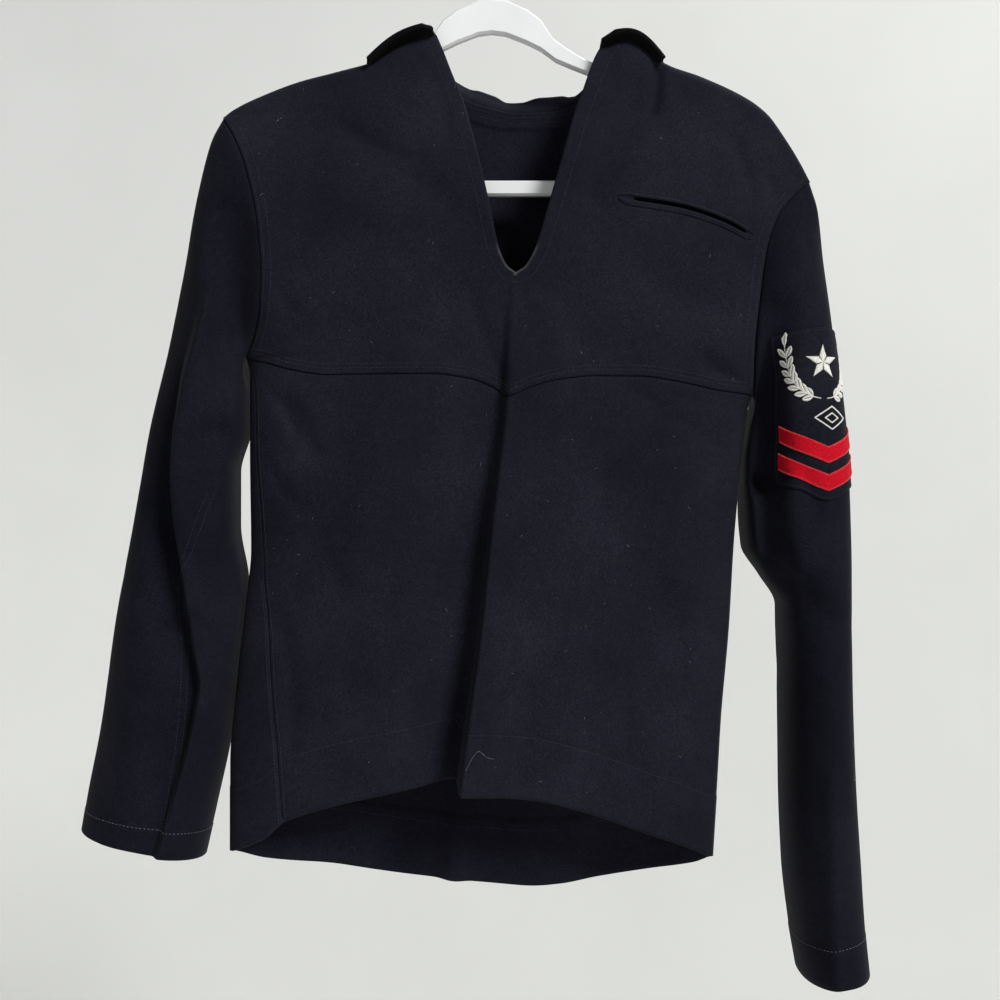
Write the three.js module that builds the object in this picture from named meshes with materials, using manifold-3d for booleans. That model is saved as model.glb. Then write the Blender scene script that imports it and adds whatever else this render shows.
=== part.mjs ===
// A wool sailor jumper hanging on a plastic clothes hanger, in millimetres.
// +Z is up, +X is to the right of someone who faces the front, and the front faces -Y.
// The origin is the inside of the hanger's hook, where a rail carries it.
import * as THREE from "three";
import { mergeVertices } from "three/addons/utils/BufferGeometryUtils.js";
import Module from "manifold-3d";

const wasm = await Module();
wasm.setup();

// Cloth and seams
const clothWall = 1.8;
const yokeLap = 0.9; // how far the double yoke stands out from the single cloth below it
const collarWall = 2.4;
const seamGap = 0.34;

// How far the front and back swell from the hanger's plane
const ridgeRadius = 11;
const frontSwell = 44;
const backSwell = 40;
const swellDrop = 90; // the fall below the shoulder over which the swell builds up

// Grid of the walls
const yokeRows = 14;
const slitRows = 9; // of the yoke's rows, those beside the neck slit
const skirtRows = 11;
const halfColumns = 11;
const neckColumns = 10;
const stripColumns = 3;
const sleeveRows = 20;

const { clamp, lerp, smoothstep } = THREE.MathUtils;

// Rows of plain numbers with the names of their columns
const named = (columns, rows) =>
  rows.map((row) => Object.fromEntries(columns.split(" ").map((name, i) => [name, row[i]])));

// A smooth curve through a table's rows that keeps to their rises and falls: a column's value at a place
function through(rows, place) {
  const turn = Math.sign(rows.at(-1)[place] - rows[0][place]);
  const slope = (i, column) =>
    (rows[i + 1][column] - rows[i][column]) / (rows[i + 1][place] - rows[i][place]);
  const lean = (i, column) => {
    if (i === 0) return slope(0, column);
    if (i === rows.length - 1) return slope(i - 1, column);
    const [before, after] = [slope(i - 1, column), slope(i, column)];
    return before * after <= 0 ? 0 : (2 * before * after) / (before + after);
  };
  return (at, column) => {
    const [low, high] = [rows[0][place], rows.at(-1)[place]];
    const held = clamp(at, Math.min(low, high), Math.max(low, high));
    let i = 0;
    while (i < rows.length - 2 && (held - rows[i + 1][place]) * turn > 0) i += 1;
    const span = rows[i + 1][place] - rows[i][place];
    const t = (held - rows[i][place]) / span;
    const [a, b] = [rows[i][column], rows[i + 1][column]];
    const [da, db] = [lean(i, column) * span, lean(i + 1, column) * span];
    const [t2, t3] = [t * t, t * t * t];
    return a * (2 * t3 - 3 * t2 + 1) + da * (t3 - 2 * t2 + t) + b * (3 * t2 - 2 * t3) + db * (t3 - t2);
  };
}

// The same rows with their place along the line through them, from 0 to 1.
function paced(rows) {
  const length = [0];
  rows.slice(1).forEach((row, i) => {
    const step = Math.hypot(row.x - rows[i].x, row.z - rows[i].z, (row.y ?? 0) - (rows[i].y ?? 0));
    length.push(length[i] + step);
  });
  return rows.map((row, i) => ({ ...row, at: length[i] / length.at(-1) }));
}

// Shoulders: the fold over the hanger's arms, from each armhole to the neck
const shoulderLine = [
  { x: -230, z: -165 },
  { x: -221, z: -158 },
  { x: -199, z: -147 },
  { x: -165, z: -134 },
  { x: -131, z: -125 },
  { x: -100, z: -116 },
  { x: -79, z: -102 },
  { x: -66, z: -95.5 },
  { x: -54, z: -88.5 },
  { x: 96, z: -101 },
  { x: 107, z: -95.5 },
  { x: 117, z: -93 },
  { x: 127, z: -98 },
  { x: 139, z: -110 },
  { x: 148, z: -118 },
  { x: 179, z: -129.5 },
  { x: 218, z: -148 },
  { x: 235, z: -161 },
  { x: 249, z: -180 },
  { x: 261.5, z: -200 },
  { x: 272, z: -220 },
];
const ridge = through(shoulderLine, "x");

// Side lines from the shoulder tip down: the armhole's front and back half, then the skirt's side fold
const sides = {
  left: {
    sign: -1,
    tip: { x: -230, z: -165 },
    neck: -54,
    underarm: { x: -211, z: -370 },
    opening: { front: 26, back: 26 },
    hole: {
      front: [
        { z: -165, x: -230 },
        { z: -186, x: -217 },
        { z: -213, x: -206 },
        { z: -256, x: -196 },
        { z: -294, x: -193 },
        { z: -332, x: -196 },
        { z: -357, x: -203 },
        { z: -370, x: -211 },
      ],
      back: [
        { z: -165, x: -230 },
        { z: -191, x: -221 },
        { z: -230, x: -212 },
        { z: -280, x: -205 },
        { z: -330, x: -206 },
        { z: -370, x: -211 },
      ],
    },
    fold: [
      { z: -370, x: -211 },
      { z: -385, x: -208 },
      { z: -449, x: -208 },
      { z: -535, x: -207 },
      { z: -575, x: -211 },
      { z: -645, x: -219 },
      { z: -720, x: -225 },
      { z: -793, x: -225 },
    ],
  },
  right: {
    sign: 1,
    tip: { x: 272, z: -220 },
    neck: 96,
    underarm: { x: 224, z: -402 },
    opening: { front: 15, back: 22 },
    hole: {
      front: [
        { z: -220, x: 272 },
        { z: -234, x: 256 },
        { z: -252, x: 242 },
        { z: -280, x: 232 },
        { z: -322, x: 226 },
        { z: -365, x: 223 },
        { z: -402, x: 224 },
      ],
      back: [
        { z: -220, x: 272 },
        { z: -240, x: 260 },
        { z: -280, x: 245 },
        { z: -330, x: 233 },
        { z: -402, x: 224 },
      ],
    },
    fold: [
      { z: -402, x: 224 },
      { z: -415, x: 220 },
      { z: -475, x: 213 },
      { z: -531, x: 208 },
      { z: -600, x: 204 },
      { z: -681, x: 197 },
      { z: -733, x: 194 },
      { z: -798, x: 190 },
    ],
  },
};
for (const side of Object.values(sides)) {
  side.holeAt = {
    front: through(side.hole.front, "z"),
    back: through(side.hole.back, "z"),
  };
  side.foldAt = through(side.fold, "z");
}

// How far the left side seam lies in front of the side fold: the back's edge wraps round to the front there
const seamTurn = through(
  [
    { z: -370, shift: 0 },
    { z: -404, shift: 6 },
    { z: -449, shift: 7 },
    { z: -492, shift: 10 },
    { z: -546, shift: 14 },
    { z: -593, shift: 24 },
    { z: -660, shift: 36 },
    { z: -707, shift: 45 },
    { z: -798, shift: 52 },
  ],
  "z",
);

// The neck slit's two edges, from the shoulder down to its round end
const slit = {
  left: through(
    paced([
      { x: -54, z: -88.5 },
      { x: -49.5, z: -94 },
      { x: -45, z: -104 },
      { x: -33, z: -136 },
      { x: -24, z: -159 },
      { x: -14, z: -197 },
      { x: -4, z: -239 },
      { x: 4.5, z: -280 },
      { x: 8, z: -290 },
      { x: 13, z: -299 },
      { x: 20, z: -304 },
    ]),
    "at",
  ),
  right: through(
    paced([
      { x: 96, z: -101 },
      { x: 87, z: -119.5 },
      { x: 77.5, z: -147 },
      { x: 70, z: -168 },
      { x: 62, z: -197 },
      { x: 55, z: -222 },
      { x: 46.5, z: -252 },
      { x: 36.5, z: -284 },
      { x: 32, z: -293 },
      { x: 27, z: -300 },
      { x: 20, z: -304 },
    ]),
    "at",
  ),
};

// The pressed crease down the middle of the front: the cloth falls back on its left and stands out on its
// right
const creaseRows = [
  { z: -304, x: 20, valley: 0, crest: 0 },
  { z: -359, x: 16, valley: 3, crest: 2 },
  { z: -406, x: 14, valley: 7, crest: 4 },
  { z: -467, x: 7, valley: 11, crest: 6 },
  { z: -525, x: 0, valley: 14, crest: 8 },
  { z: -575, x: -5, valley: 17, crest: 9 },
  { z: -625, x: -11, valley: 19, crest: 11 },
  { z: -674, x: -18, valley: 21, crest: 12 },
  { z: -740, x: -26, valley: 24, crest: 13 },
];
const crease = through(creaseRows, "z");
const creaseStep = 6; // across the steep face between the valley and the crest
const valleyWidth = 46;
const crestWidth = 60;

const yokeSeam = through(
  [
    { x: -211, z: -370 },
    { x: -191, z: -375 },
    { x: -168, z: -382 },
    { x: -135, z: -387 },
    { x: -93, z: -387 },
    { x: -51, z: -387 },
    { x: -18, z: -391 },
    { x: 3, z: -399 },
    { x: 14, z: -406 },
    { x: 32, z: -399 },
    { x: 57, z: -392 },
    { x: 90, z: -389 },
    { x: 124, z: -389 },
    { x: 157, z: -393 },
    { x: 190, z: -399 },
    { x: 224, z: -402 },
  ],
  "x",
);

const hem = {
  front: through(
    [
      { x: -225, z: -793 },
      { x: -192, z: -777 },
      { x: -175, z: -762 },
      { x: -144, z: -750 },
      { x: -110, z: -741 },
      { x: -68, z: -733 },
      { x: -31, z: -727 },
      { x: -26, z: -735 },
      { x: 7, z: -736 },
      { x: 40, z: -740 },
      { x: 89, z: -755 },
      { x: 130, z: -771 },
      { x: 163, z: -784 },
      { x: 190, z: -798 },
    ],
    "x",
  ),
  back: through(
    [
      { x: -225, z: -793 },
      { x: -198, z: -804 },
      { x: -136, z: -815 },
      { x: -64, z: -825 },
      { x: -11, z: -831 },
      { x: 25, z: -833 },
      { x: 60, z: -832 },
      { x: 96, z: -826 },
      { x: 141, z: -815 },
      { x: 176, z: -806 },
      { x: 190, z: -798 },
    ],
    "x",
  ),
};

// Soft folds across the body: each is a trough, or a swell where its depth is negative
const softFolds = {
  front: [
    { fromX: -118, fromZ: -186, toX: -18, toZ: -258, depth: 4, width: 15 },
    { fromX: -150, fromZ: -160, toX: -70, toZ: -150, depth: -3, width: 18 },
    { fromX: 142, fromZ: -128, toX: 136, toZ: -165, depth: 5, width: 5 },
    { fromX: 122, fromZ: -168, toX: 84, toZ: -236, depth: 5, width: 12 },
    { fromX: 180, fromZ: -376, toX: 218, toZ: -392, depth: 3, width: 8 },
    { fromX: -172, fromZ: -410, toX: -150, toZ: -452, depth: 3, width: 9 },
    { fromX: -60, fromZ: -560, toX: -70, toZ: -720, depth: -5, width: 30 },
    { fromX: 100, fromZ: -480, toX: 150, toZ: -600, depth: 4, width: 24 },
    { fromX: 60, fromZ: -610, toX: 55, toZ: -735, depth: -4, width: 26 },
  ],
  back: [
    { fromX: 10, fromZ: -420, toX: -34, toZ: -820, depth: 7, width: 9 },
    { fromX: -120, fromZ: -460, toX: -140, toZ: -800, depth: -7, width: 34 },
    { fromX: 110, fromZ: -470, toX: 96, toZ: -810, depth: -8, width: 38 },
    { fromX: 40, fromZ: -560, toX: 40, toZ: -825, depth: 5, width: 22 },
    { fromX: -190, fromZ: -260, toX: -120, toZ: -420, depth: 6, width: 20 },
    { fromX: 215, fromZ: -290, toX: 150, toZ: -440, depth: 6, width: 20 },
  ],
};

function softFoldDepth(x, z, folds) {
  let depth = 0;
  for (const fold of folds) {
    const [runX, runZ] = [fold.toX - fold.fromX, fold.toZ - fold.fromZ];
    const along = ((x - fold.fromX) * runX + (z - fold.fromZ) * runZ) / (runX ** 2 + runZ ** 2);
    const t = clamp(along, 0, 1);
    const off = Math.hypot(x - fold.fromX - t * runX, z - fold.fromZ - t * runZ);
    depth += fold.depth * Math.exp(-((off / fold.width) ** 2));
  }
  return depth;
}

// A sharp fold: the cloth falls back on the left of its line and stands out on the right.
function sharpFoldDepth(off, { valley, crest }, { step, valleySpan, crestSpan }) {
  const share = smoothstep(off, -step, 0);
  const fallen = valley * Math.exp(-((Math.min(off + step, 0) / valleySpan) ** 2));
  const raised = crest * Math.exp(-((Math.max(off, 0) / crestSpan) ** 2));
  return (1 - share) * fallen - share * raised;
}

// The quarter round of cloth over the shoulder, from 0 on the ridge to 1 where it hangs straight.
function overRidge(fall) {
  const t = clamp(fall / ridgeRadius, 0, 1);
  return Math.sqrt(1 - (1 - t) ** 2);
}

const creaseFoot = creaseRows.at(-1);
const middleX = (z) => crease(z, "x");

// Y of the body's outer surface, on its front or its back.
function bodyY(x, z, face) {
  const middle = middleX(z);
  const side = x < middle ? sides.left : sides.right;
  const { tip, underarm, opening } = side;
  const edge = z > underarm.z ? side.holeAt[face](z, "x") : side.foldAt(z, "x");
  const inward = clamp((x - edge) / (middle - edge), 0, 1);
  const full = (1 - (1 - inward) ** 2.2) ** 0.56;
  const down = clamp((tip.z - z) / (tip.z - underarm.z), 0, 1);
  const atEdge = ridgeRadius * Math.sqrt(1 - down) + opening[face] * Math.sin(Math.PI * down) ** 0.7;
  const fall = ridge(x, "z") - z;
  const swell = face === "front" ? frontSwell : backSwell;
  const atMiddle = ridgeRadius + (swell - ridgeRadius) * (1 - Math.exp(-Math.max(fall, 0) / swellDrop));
  const out = overRidge(fall) * (atEdge + (atMiddle - atEdge) * full);
  const fade = overRidge(fall) * smoothstep(inward, 0, 0.16);
  const soft = softFoldDepth(x, z, softFolds[face]) * fade;
  if (face === "back") return out - soft;
  const held = Math.min(z, creaseRows[0].z);
  const fold = { valley: crease(held, "valley"), crest: crease(held, "crest") };
  const spans = { step: creaseStep, valleySpan: valleyWidth, crestSpan: crestWidth };
  const sharp = z < creaseRows[0].z ? sharpFoldDepth(x - middle, fold, spans) * fade : 0;
  return -out + soft + sharp;
}

const bodyPoint = (x, z, face) => new THREE.Vector3(x, bodyY(x, z, face), z);

// A point of the flat patch between four edges, in the XZ plane: u runs from the side to the middle and v
// from top to bottom.
function patchXZ({ top, bottom, side, middle }, u, v, weight) {
  const mix = (key) =>
    (1 - weight) * top(u)[key] +
    weight * bottom(u)[key] +
    (1 - u) * side(v)[key] +
    u * middle(v)[key] -
    (1 - weight) * ((1 - u) * top(0)[key] + u * top(1)[key]) -
    weight * ((1 - u) * bottom(0)[key] + u * bottom(1)[key]);
  return { x: mix("x"), z: mix("z") };
}

const round = (t) => (1 - Math.cos(Math.PI * t)) / 2; // crowds the steps at both ends
const steps = (count, spread = (t) => t) => Array.from({ length: count + 1 }, (_, i) => spread(i / count));

// Where the yoke's rows meet an armhole
function armholePoint(side, face, v) {
  const z = lerp(side.tip.z, side.underarm.z, round(v));
  return bodyPoint(side.holeAt[face](z, "x"), z, face);
}

const slitShare = slitRows / yokeRows;
function yokeEdges(side, name) {
  const foot = { x: middleX(yokeSeam(14, "z")), z: -406 };
  return {
    top: (u) => {
      const x = lerp(side.tip.x, side.neck, u);
      return { x, z: ridge(x, "z") };
    },
    bottom: (u) => {
      const x = lerp(side.underarm.x, foot.x, u);
      return { x, z: yokeSeam(x, "z") };
    },
    side: (v) => {
      const z = lerp(side.tip.z, side.underarm.z, round(v));
      return { x: side.holeAt.front(z, "x"), z };
    },
    middle: (v) => {
      if (v <= slitShare) {
        const at = (v / slitShare) ** 1.15;
        return { x: slit[name](at, "x"), z: slit[name](at, "z") };
      }
      const z = lerp(creaseRows[0].z, foot.z, (v - slitShare) / (1 - slitShare));
      return { x: middleX(z), z };
    },
  };
}

// The front's skirt, from the yoke seam to the hem. The left seam lies inside the side fold.
function skirtEdges(side, name) {
  const foot = side.fold.at(-1);
  const footX = foot.x + (name === "left" ? seamTurn(foot.z, "shift") : 0);
  const sideX = (z) => side.foldAt(z, "x") + (name === "left" ? seamTurn(z, "shift") : 0);
  const footZ = hem.front(footX, "z");
  return {
    top: (u) => {
      const x = lerp(side.underarm.x, 14, u);
      return { x, z: yokeSeam(x, "z") };
    },
    bottom: (u) => {
      const x = lerp(footX, creaseFoot.x, u);
      return { x, z: hem.front(x, "z") };
    },
    side: (v) => {
      const z = lerp(side.underarm.z, footZ, v);
      return { x: v === 1 ? footX : sideX(z), z };
    },
    middle: (v) => {
      const z = lerp(-406, hem.front(creaseFoot.x, "z"), v);
      return { x: middleX(z), z };
    },
  };
}

// A point on a side fold, from the underarm to the hem
function foldPoint(side, v) {
  const z = lerp(side.underarm.z, side.fold.at(-1).z, v);
  return new THREE.Vector3(side.foldAt(z, "x"), 0, z);
}

// A point of the back's strip on the front, between the left fold and the seam. It narrows to nothing at
// the underarm.
function stripPoint(across, v) {
  const { left } = sides;
  if (across === 0) return foldPoint(left, v);
  const foot = left.fold.at(-1);
  const footX = foot.x + across * seamTurn(foot.z, "shift");
  const z = lerp(left.underarm.z, hem.front(footX, "z"), v);
  const x = v === 1 ? footX : left.foldAt(z, "x") + across * seamTurn(z, "shift");
  return bodyPoint(x, z, "front");
}

// The cloth of the body and sleeves: one surface whose pieces share their seam points.
class Cloth {
  points = [];
  faces = [];
  cells = new Map();
  static cell = 0.05;

  // The number of the point at a place, made once for all the pieces that meet there.
  add(point) {
    const [i, j, k] = [point.x, point.y, point.z].map((value) => Math.round(value / Cloth.cell));
    for (const di of [0, -1, 1])
      for (const dj of [0, -1, 1])
        for (const dk of [0, -1, 1]) {
          const found = this.cells.get(`${i + di},${j + dj},${k + dk}`);
          if (found !== undefined) return found;
        }
    this.cells.set(`${i},${j},${k}`, this.points.length);
    this.points.push(point.clone());
    return this.points.length - 1;
  }

  // Adds a grid of points as faces of one piece. Turned grids have their columns the other way round.
  addGrid(piece, grid, turned) {
    const ids = grid.map((row) => row.map((point) => this.add(point)));
    for (let i = 0; i < ids.length - 1; i += 1)
      for (let j = 0; j < ids[0].length - 1; j += 1) {
        const loop = [ids[i][j], ids[i][j + 1], ids[i + 1][j + 1], ids[i + 1][j]];
        if (turned) loop.reverse();
        const corners = loop.filter((id, n) => id !== loop[(n + 1) % 4]);
        if (new Set(corners).size > 2) this.faces.push({ piece, corners });
      }
  }

  faceNormal(corners) {
    const [a, b, c, d = corners[0]] = corners;
    const edge = this.points[b].clone().sub(this.points[a]);
    const across = this.points[c].clone().sub(this.points[a]);
    if (corners.length === 3) return edge.cross(across).normalize();
    return across.cross(this.points[d].clone().sub(this.points[b])).normalize();
  }

  // Outward directions at the points, shared by all the pieces and weighted by the faces' corner angles
  normals() {
    const sums = this.points.map(() => new THREE.Vector3());
    for (const { corners } of this.faces) {
      const normal = this.faceNormal(corners);
      corners.forEach((id, n) => {
        const before = this.points[corners.at(n - 1)].clone().sub(this.points[id]);
        const after = this.points[corners[(n + 1) % corners.length]].clone().sub(this.points[id]);
        sums[id].addScaledVector(normal, before.angleTo(after));
      });
    }
    return sums.map((sum) => sum.normalize());
  }

  // One piece as a closed wall, drawn back from its neighbours at the seams.
  wall(piece, outward, inward) {
    const normals = this.normals();
    const mine = this.faces.filter((face) => face.piece === piece);
    const uses = (faces) => {
      const counts = new Map();
      for (const { corners } of faces)
        corners.forEach((id, n) => {
          const next = corners[(n + 1) % corners.length];
          const key = id < next ? `${id},${next}` : `${next},${id}`;
          counts.set(key, (counts.get(key) ?? 0) + 1);
        });
      return counts;
    };
    const [own, all] = [uses(mine), uses(this.faces)];
    const rims = [];
    const pulls = new Map();
    for (const { corners } of mine) {
      const normal = this.faceNormal(corners);
      corners.forEach((id, n) => {
        const next = corners[(n + 1) % corners.length];
        const key = id < next ? `${id},${next}` : `${next},${id}`;
        if (own.get(key) !== 1) return;
        rims.push([id, next]);
        if (all.get(key) === 1) return;
        const inwards = normal.clone().cross(this.points[next].clone().sub(this.points[id]).normalize());
        for (const end of [id, next]) pulls.set(end, [...(pulls.get(end) ?? []), inwards]);
      });
    }
    const shell = new Shell();
    const [outer, inner] = [new Map(), new Map()];
    for (const id of new Set(mine.flatMap((face) => face.corners))) {
      const pull = new THREE.Vector3();
      const parts = pulls.get(id) ?? [];
      for (const part of parts) pull.add(part);
      const spread = Math.max(pull.lengthSq(), 0.2);
      if (parts.length) pull.multiplyScalar(((seamGap / 2) * parts.length) / spread);
      const place = this.points[id].clone().add(pull);
      outer.set(id, shell.add(place.clone().addScaledVector(normals[id], outward)));
      inner.set(id, shell.add(place.clone().addScaledVector(normals[id], -inward)));
    }
    for (const { corners } of mine) {
      shell.face(corners.map((id) => outer.get(id)));
      shell.face(corners.map((id) => inner.get(id)).reverse());
    }
    for (const [id, next] of rims) {
      const rim = [outer.get(next), outer.get(id), inner.get(id), inner.get(next)];
      shell.face(id < next ? rim : [...rim.slice(1), rim[0]]);
    }
    return shell.geometry();
  }
}

// A closed mesh built face by face
class Shell {
  positions = [];
  index = [];

  add(point) {
    this.positions.push(point.x, point.y, point.z);
    return this.positions.length / 3 - 1;
  }

  face(corners) {
    for (let n = 1; n < corners.length - 1; n += 1) this.index.push(corners[0], corners[n], corners[n + 1]);
  }

  geometry() {
    const made = new THREE.BufferGeometry();
    made.setAttribute("position", new THREE.Float32BufferAttribute(this.positions, 3));
    made.setIndex(this.index);
    return made;
  }
}

// Sleeves: each row is a section, from the armhole to the cuff, with its outer and inner ends as seen from
// the front
const sectionColumns = "at outX outZ inX inZ front back middleY square";
const sleeveSections = {
  left: named(sectionColumns, [
    [0, -230, -165, -211, -370, 26, 26, 0, 1],
    [0.05, -241, -184, -214, -380, 31, 31, 3, 1],
    [0.12, -253, -226, -210, -402, 40, 38, 9, 0.95],
    [0.2, -264, -285, -210, -430, 46, 42, 12, 0.9],
    [0.3, -279, -359, -220, -470, 49, 45, 13, 0.9],
    [0.4, -296, -430, -220, -515, 50, 46, 14, 0.9],
    [0.52, -311, -518, -212.5, -565, 50, 46, 14, 0.9],
    [0.64, -325, -595, -218, -620, 49, 46, 14, 0.9],
    [0.78, -337, -680, -226, -690, 48, 46, 14, 0.92],
    [0.92, -349, -743, -240, -758, 47, 46, 13, 0.95],
    [1, -354, -774, -249, -799, 47, 45, 12, 0.95],
  ]),
  right: named(sectionColumns, [
    [0, 272, -220, 224, -402, 20, 24, 0, 1],
    [0.04, 279, -245, 226, -410, 34, 34, 2, 0.85],
    [0.1, 284, -290, 221, -432, 48, 46, 8, 0.75],
    [0.18, 291, -346, 217, -462, 55, 52, 12, 0.7],
    [0.27, 299, -406, 217, -498, 58, 55, 14, 0.68],
    [0.36, 305.5, -475, 219.5, -533, 58, 56, 14, 0.7],
    [0.41, 306.5, -511, 235, -558, 58, 56, 14, 0.72],
    [0.46, 307, -550, 250, -585, 57, 56, 14, 0.75],
    [0.6, 308, -640, 251, -655, 56, 55, 12, 0.82],
    [0.74, 311, -730, 251, -735, 55, 54, 10, 0.86],
    [0.86, 315, -800, 253, -805, 55, 54, 8, 0.88],
    [0.95, 318, -855, 259, -862, 55, 54, 6, 0.9],
    [1, 321, -890, 265, -898, 56, 53, 5, 0.9],
  ]),
};
const sectionAt = {
  left: through(sleeveSections.left, "at"),
  right: through(sleeveSections.right, "at"),
};

// The left sleeve's long fold: share is its place across the section, from the outer end
const elbowFold = through(
  [
    { at: 0, share: 0.5, valley: 0, crest: 0 },
    { at: 0.16, share: 0.46, valley: 3, crest: 1 },
    { at: 0.22, share: 0.4, valley: 9, crest: 4 },
    { at: 0.33, share: 0.38, valley: 15, crest: 6 },
    { at: 0.46, share: 0.47, valley: 19, crest: 8 },
    { at: 0.56, share: 0.61, valley: 17, crest: 7 },
    { at: 0.65, share: 0.73, valley: 14, crest: 5 },
    { at: 0.71, share: 0.8, valley: 15, crest: 6 },
    { at: 0.79, share: 0.78, valley: 12, crest: 5 },
    { at: 0.9, share: 0.75, valley: 9, crest: 4 },
    { at: 1, share: 0.72, valley: 6, crest: 3 },
  ],
  "at",
);
const elbowSpans = { step: 7, valleySpan: 34, crestSpan: 24 };
const sleeveFolds = {
  left: {
    front: [
      { fromX: -222, fromZ: -250, toX: -226, toZ: -350, depth: 9, width: 12 },
      { fromX: -236, fromZ: -540, toX: -222, toZ: -600, depth: 6, width: 9 },
      { fromX: -240, fromZ: -668, toX: -226, toZ: -640, depth: -5, width: 9 },
    ],
    back: [
      { fromX: -252, fromZ: -300, toX: -280, toZ: -520, depth: 6, width: 14 },
      { fromX: -236, fromZ: -560, toX: -300, toZ: -590, depth: 7, width: 12 },
      { fromX: -234, fromZ: -610, toX: -290, toZ: -660, depth: 5, width: 11 },
    ],
  },
  right: {
    front: [
      { fromX: 280, fromZ: -720, toX: 281, toZ: -890, depth: -4, width: 8 },
      { fromX: 262, fromZ: -560, toX: 262, toZ: -760, depth: 4, width: 12 },
      { fromX: 245, fromZ: -560, toX: 290, toZ: -600, depth: 3, width: 12 },
    ],
    back: [
      { fromX: 262, fromZ: -330, toX: 282, toZ: -520, depth: 6, width: 13 },
      { fromX: 250, fromZ: -570, toX: 300, toZ: -610, depth: 6, width: 12 },
      { fromX: 256, fromZ: -640, toX: 300, toZ: -668, depth: 4, width: 11 },
    ],
  },
};

const power = (value, exponent) => Math.sign(value) * Math.abs(value) ** exponent;

// A point of a sleeve's section, with no folds. Turn is 0 at the outer end and half a turn at the inner
// one, and the front is between.
function plainSleeve(name, at, turn) {
  const section = (column) => sectionAt[name](at, column);
  const [c, s] = [Math.cos(turn), Math.sin(turn)];
  const across = (1 - power(c, section("square"))) / 2;
  const deep = power(s, section("square"));
  return new THREE.Vector3(
    lerp(section("outX"), section("inX"), across),
    section("middleY") - deep * (s > 0 ? section("front") : section("back")),
    lerp(section("outZ"), section("inZ"), across),
  );
}

// The turn at which a section passes a share of its width on the front
const turnAtShare = (name, at, share) => Math.acos(power(1 - 2 * share, 1 / sectionAt[name](at, "square")));

// The turn of a column of the sleeve's grid. On the left sleeve one column follows the long fold, and
// the one before it follows the foot of its step.
function columnTurn(name, at, t) {
  if (name === "right" || t >= 0.5) return t === 1 ? 0 : 2 * Math.PI * t;
  const crest = turnAtShare(name, at, elbowFold(at, "share"));
  const foot = crest - 0.06 - 0.1 * smoothstep(at, 0.1, 0.3);
  const [footT, crestT] = [6 / (2 * yokeRows), 7 / (2 * yokeRows)];
  if (t <= footT) return (foot * t) / footT;
  if (t <= crestT) return lerp(foot, crest, (t - footT) / (crestT - footT));
  return lerp(crest, Math.PI, (t - crestT) / (0.5 - crestT));
}

// A point of a sleeve: t runs once round its section, over the front and then over the back.
function sleevePoint(name, at, t) {
  const side = sides[name];
  const front = t <= 0.5;
  const hole = armholePoint(side, front ? "front" : "back", front ? 2 * t : 2 - 2 * t);
  if (at === 0) return hole;
  const turn = columnTurn(name, at, t);
  const point = plainSleeve(name, at, turn);
  const near = (1 - smoothstep(at, 0, 0.14)) ** 1.5;
  const deep = Math.abs(Math.sin(turn)) ** 0.8 * smoothstep(at, 0, 0.08);
  const soft = softFoldDepth(point.x, point.z, sleeveFolds[name][front ? "front" : "back"]) * deep;
  point.y += front ? soft : -soft;
  if (front && name === "left") {
    const foldX = lerp(sectionAt.left(at, "outX"), sectionAt.left(at, "inX"), elbowFold(at, "share"));
    const fold = { valley: elbowFold(at, "valley"), crest: elbowFold(at, "crest") };
    point.y += sharpFoldDepth(point.x - foldX, fold, elbowSpans) * deep;
  }
  return point.add(hole.sub(plainSleeve(name, 0, 2 * Math.PI * t)).multiplyScalar(near));
}

function addBody(cloth) {
  const columns = steps(halfColumns, round);
  for (const [name, side] of Object.entries(sides)) {
    const left = name === "left";
    const yoke = yokeEdges(side, name);
    const yokeGrid = steps(yokeRows).map((v) =>
      columns.map((u) => {
        const { x, z } = patchXZ(yoke, u, v, round(v));
        return bodyPoint(x, z, "front");
      }),
    );
    cloth.addGrid("front_yoke", yokeGrid, left);

    const skirt = skirtEdges(side, name);
    const skirtGrid = steps(skirtRows).map((v) =>
      columns.map((u) => {
        if (u === 0) return left ? stripPoint(1, v) : foldPoint(side, v);
        const { x, z } = patchXZ(skirt, u, v, v);
        return bodyPoint(x, z, "front");
      }),
    );
    cloth.addGrid("front", skirtGrid, left);
  }
  const strip = steps(skirtRows).map((v) =>
    steps(stripColumns, (t) => 1 - Math.cos((Math.PI / 2) * t)).map((across) => stripPoint(across, v)),
  );
  cloth.addGrid("back", strip, true);
  addBack(cloth, columns);
}

// The back's neckline, from one end of the slit to the other
const neckline = through(
  paced([
    { x: -54, z: -88.5 },
    { x: -51, z: -100 },
    { x: -46, z: -112 },
    { x: -38, z: -125 },
    { x: -24, z: -141 },
    { x: 0, z: -149 },
    { x: 20, z: -153 },
    { x: 50, z: -152 },
    { x: 73, z: -147 },
    { x: 86, z: -133 },
    { x: 93, z: -115 },
    { x: 96, z: -101 },
  ]),
  "at",
);

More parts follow.
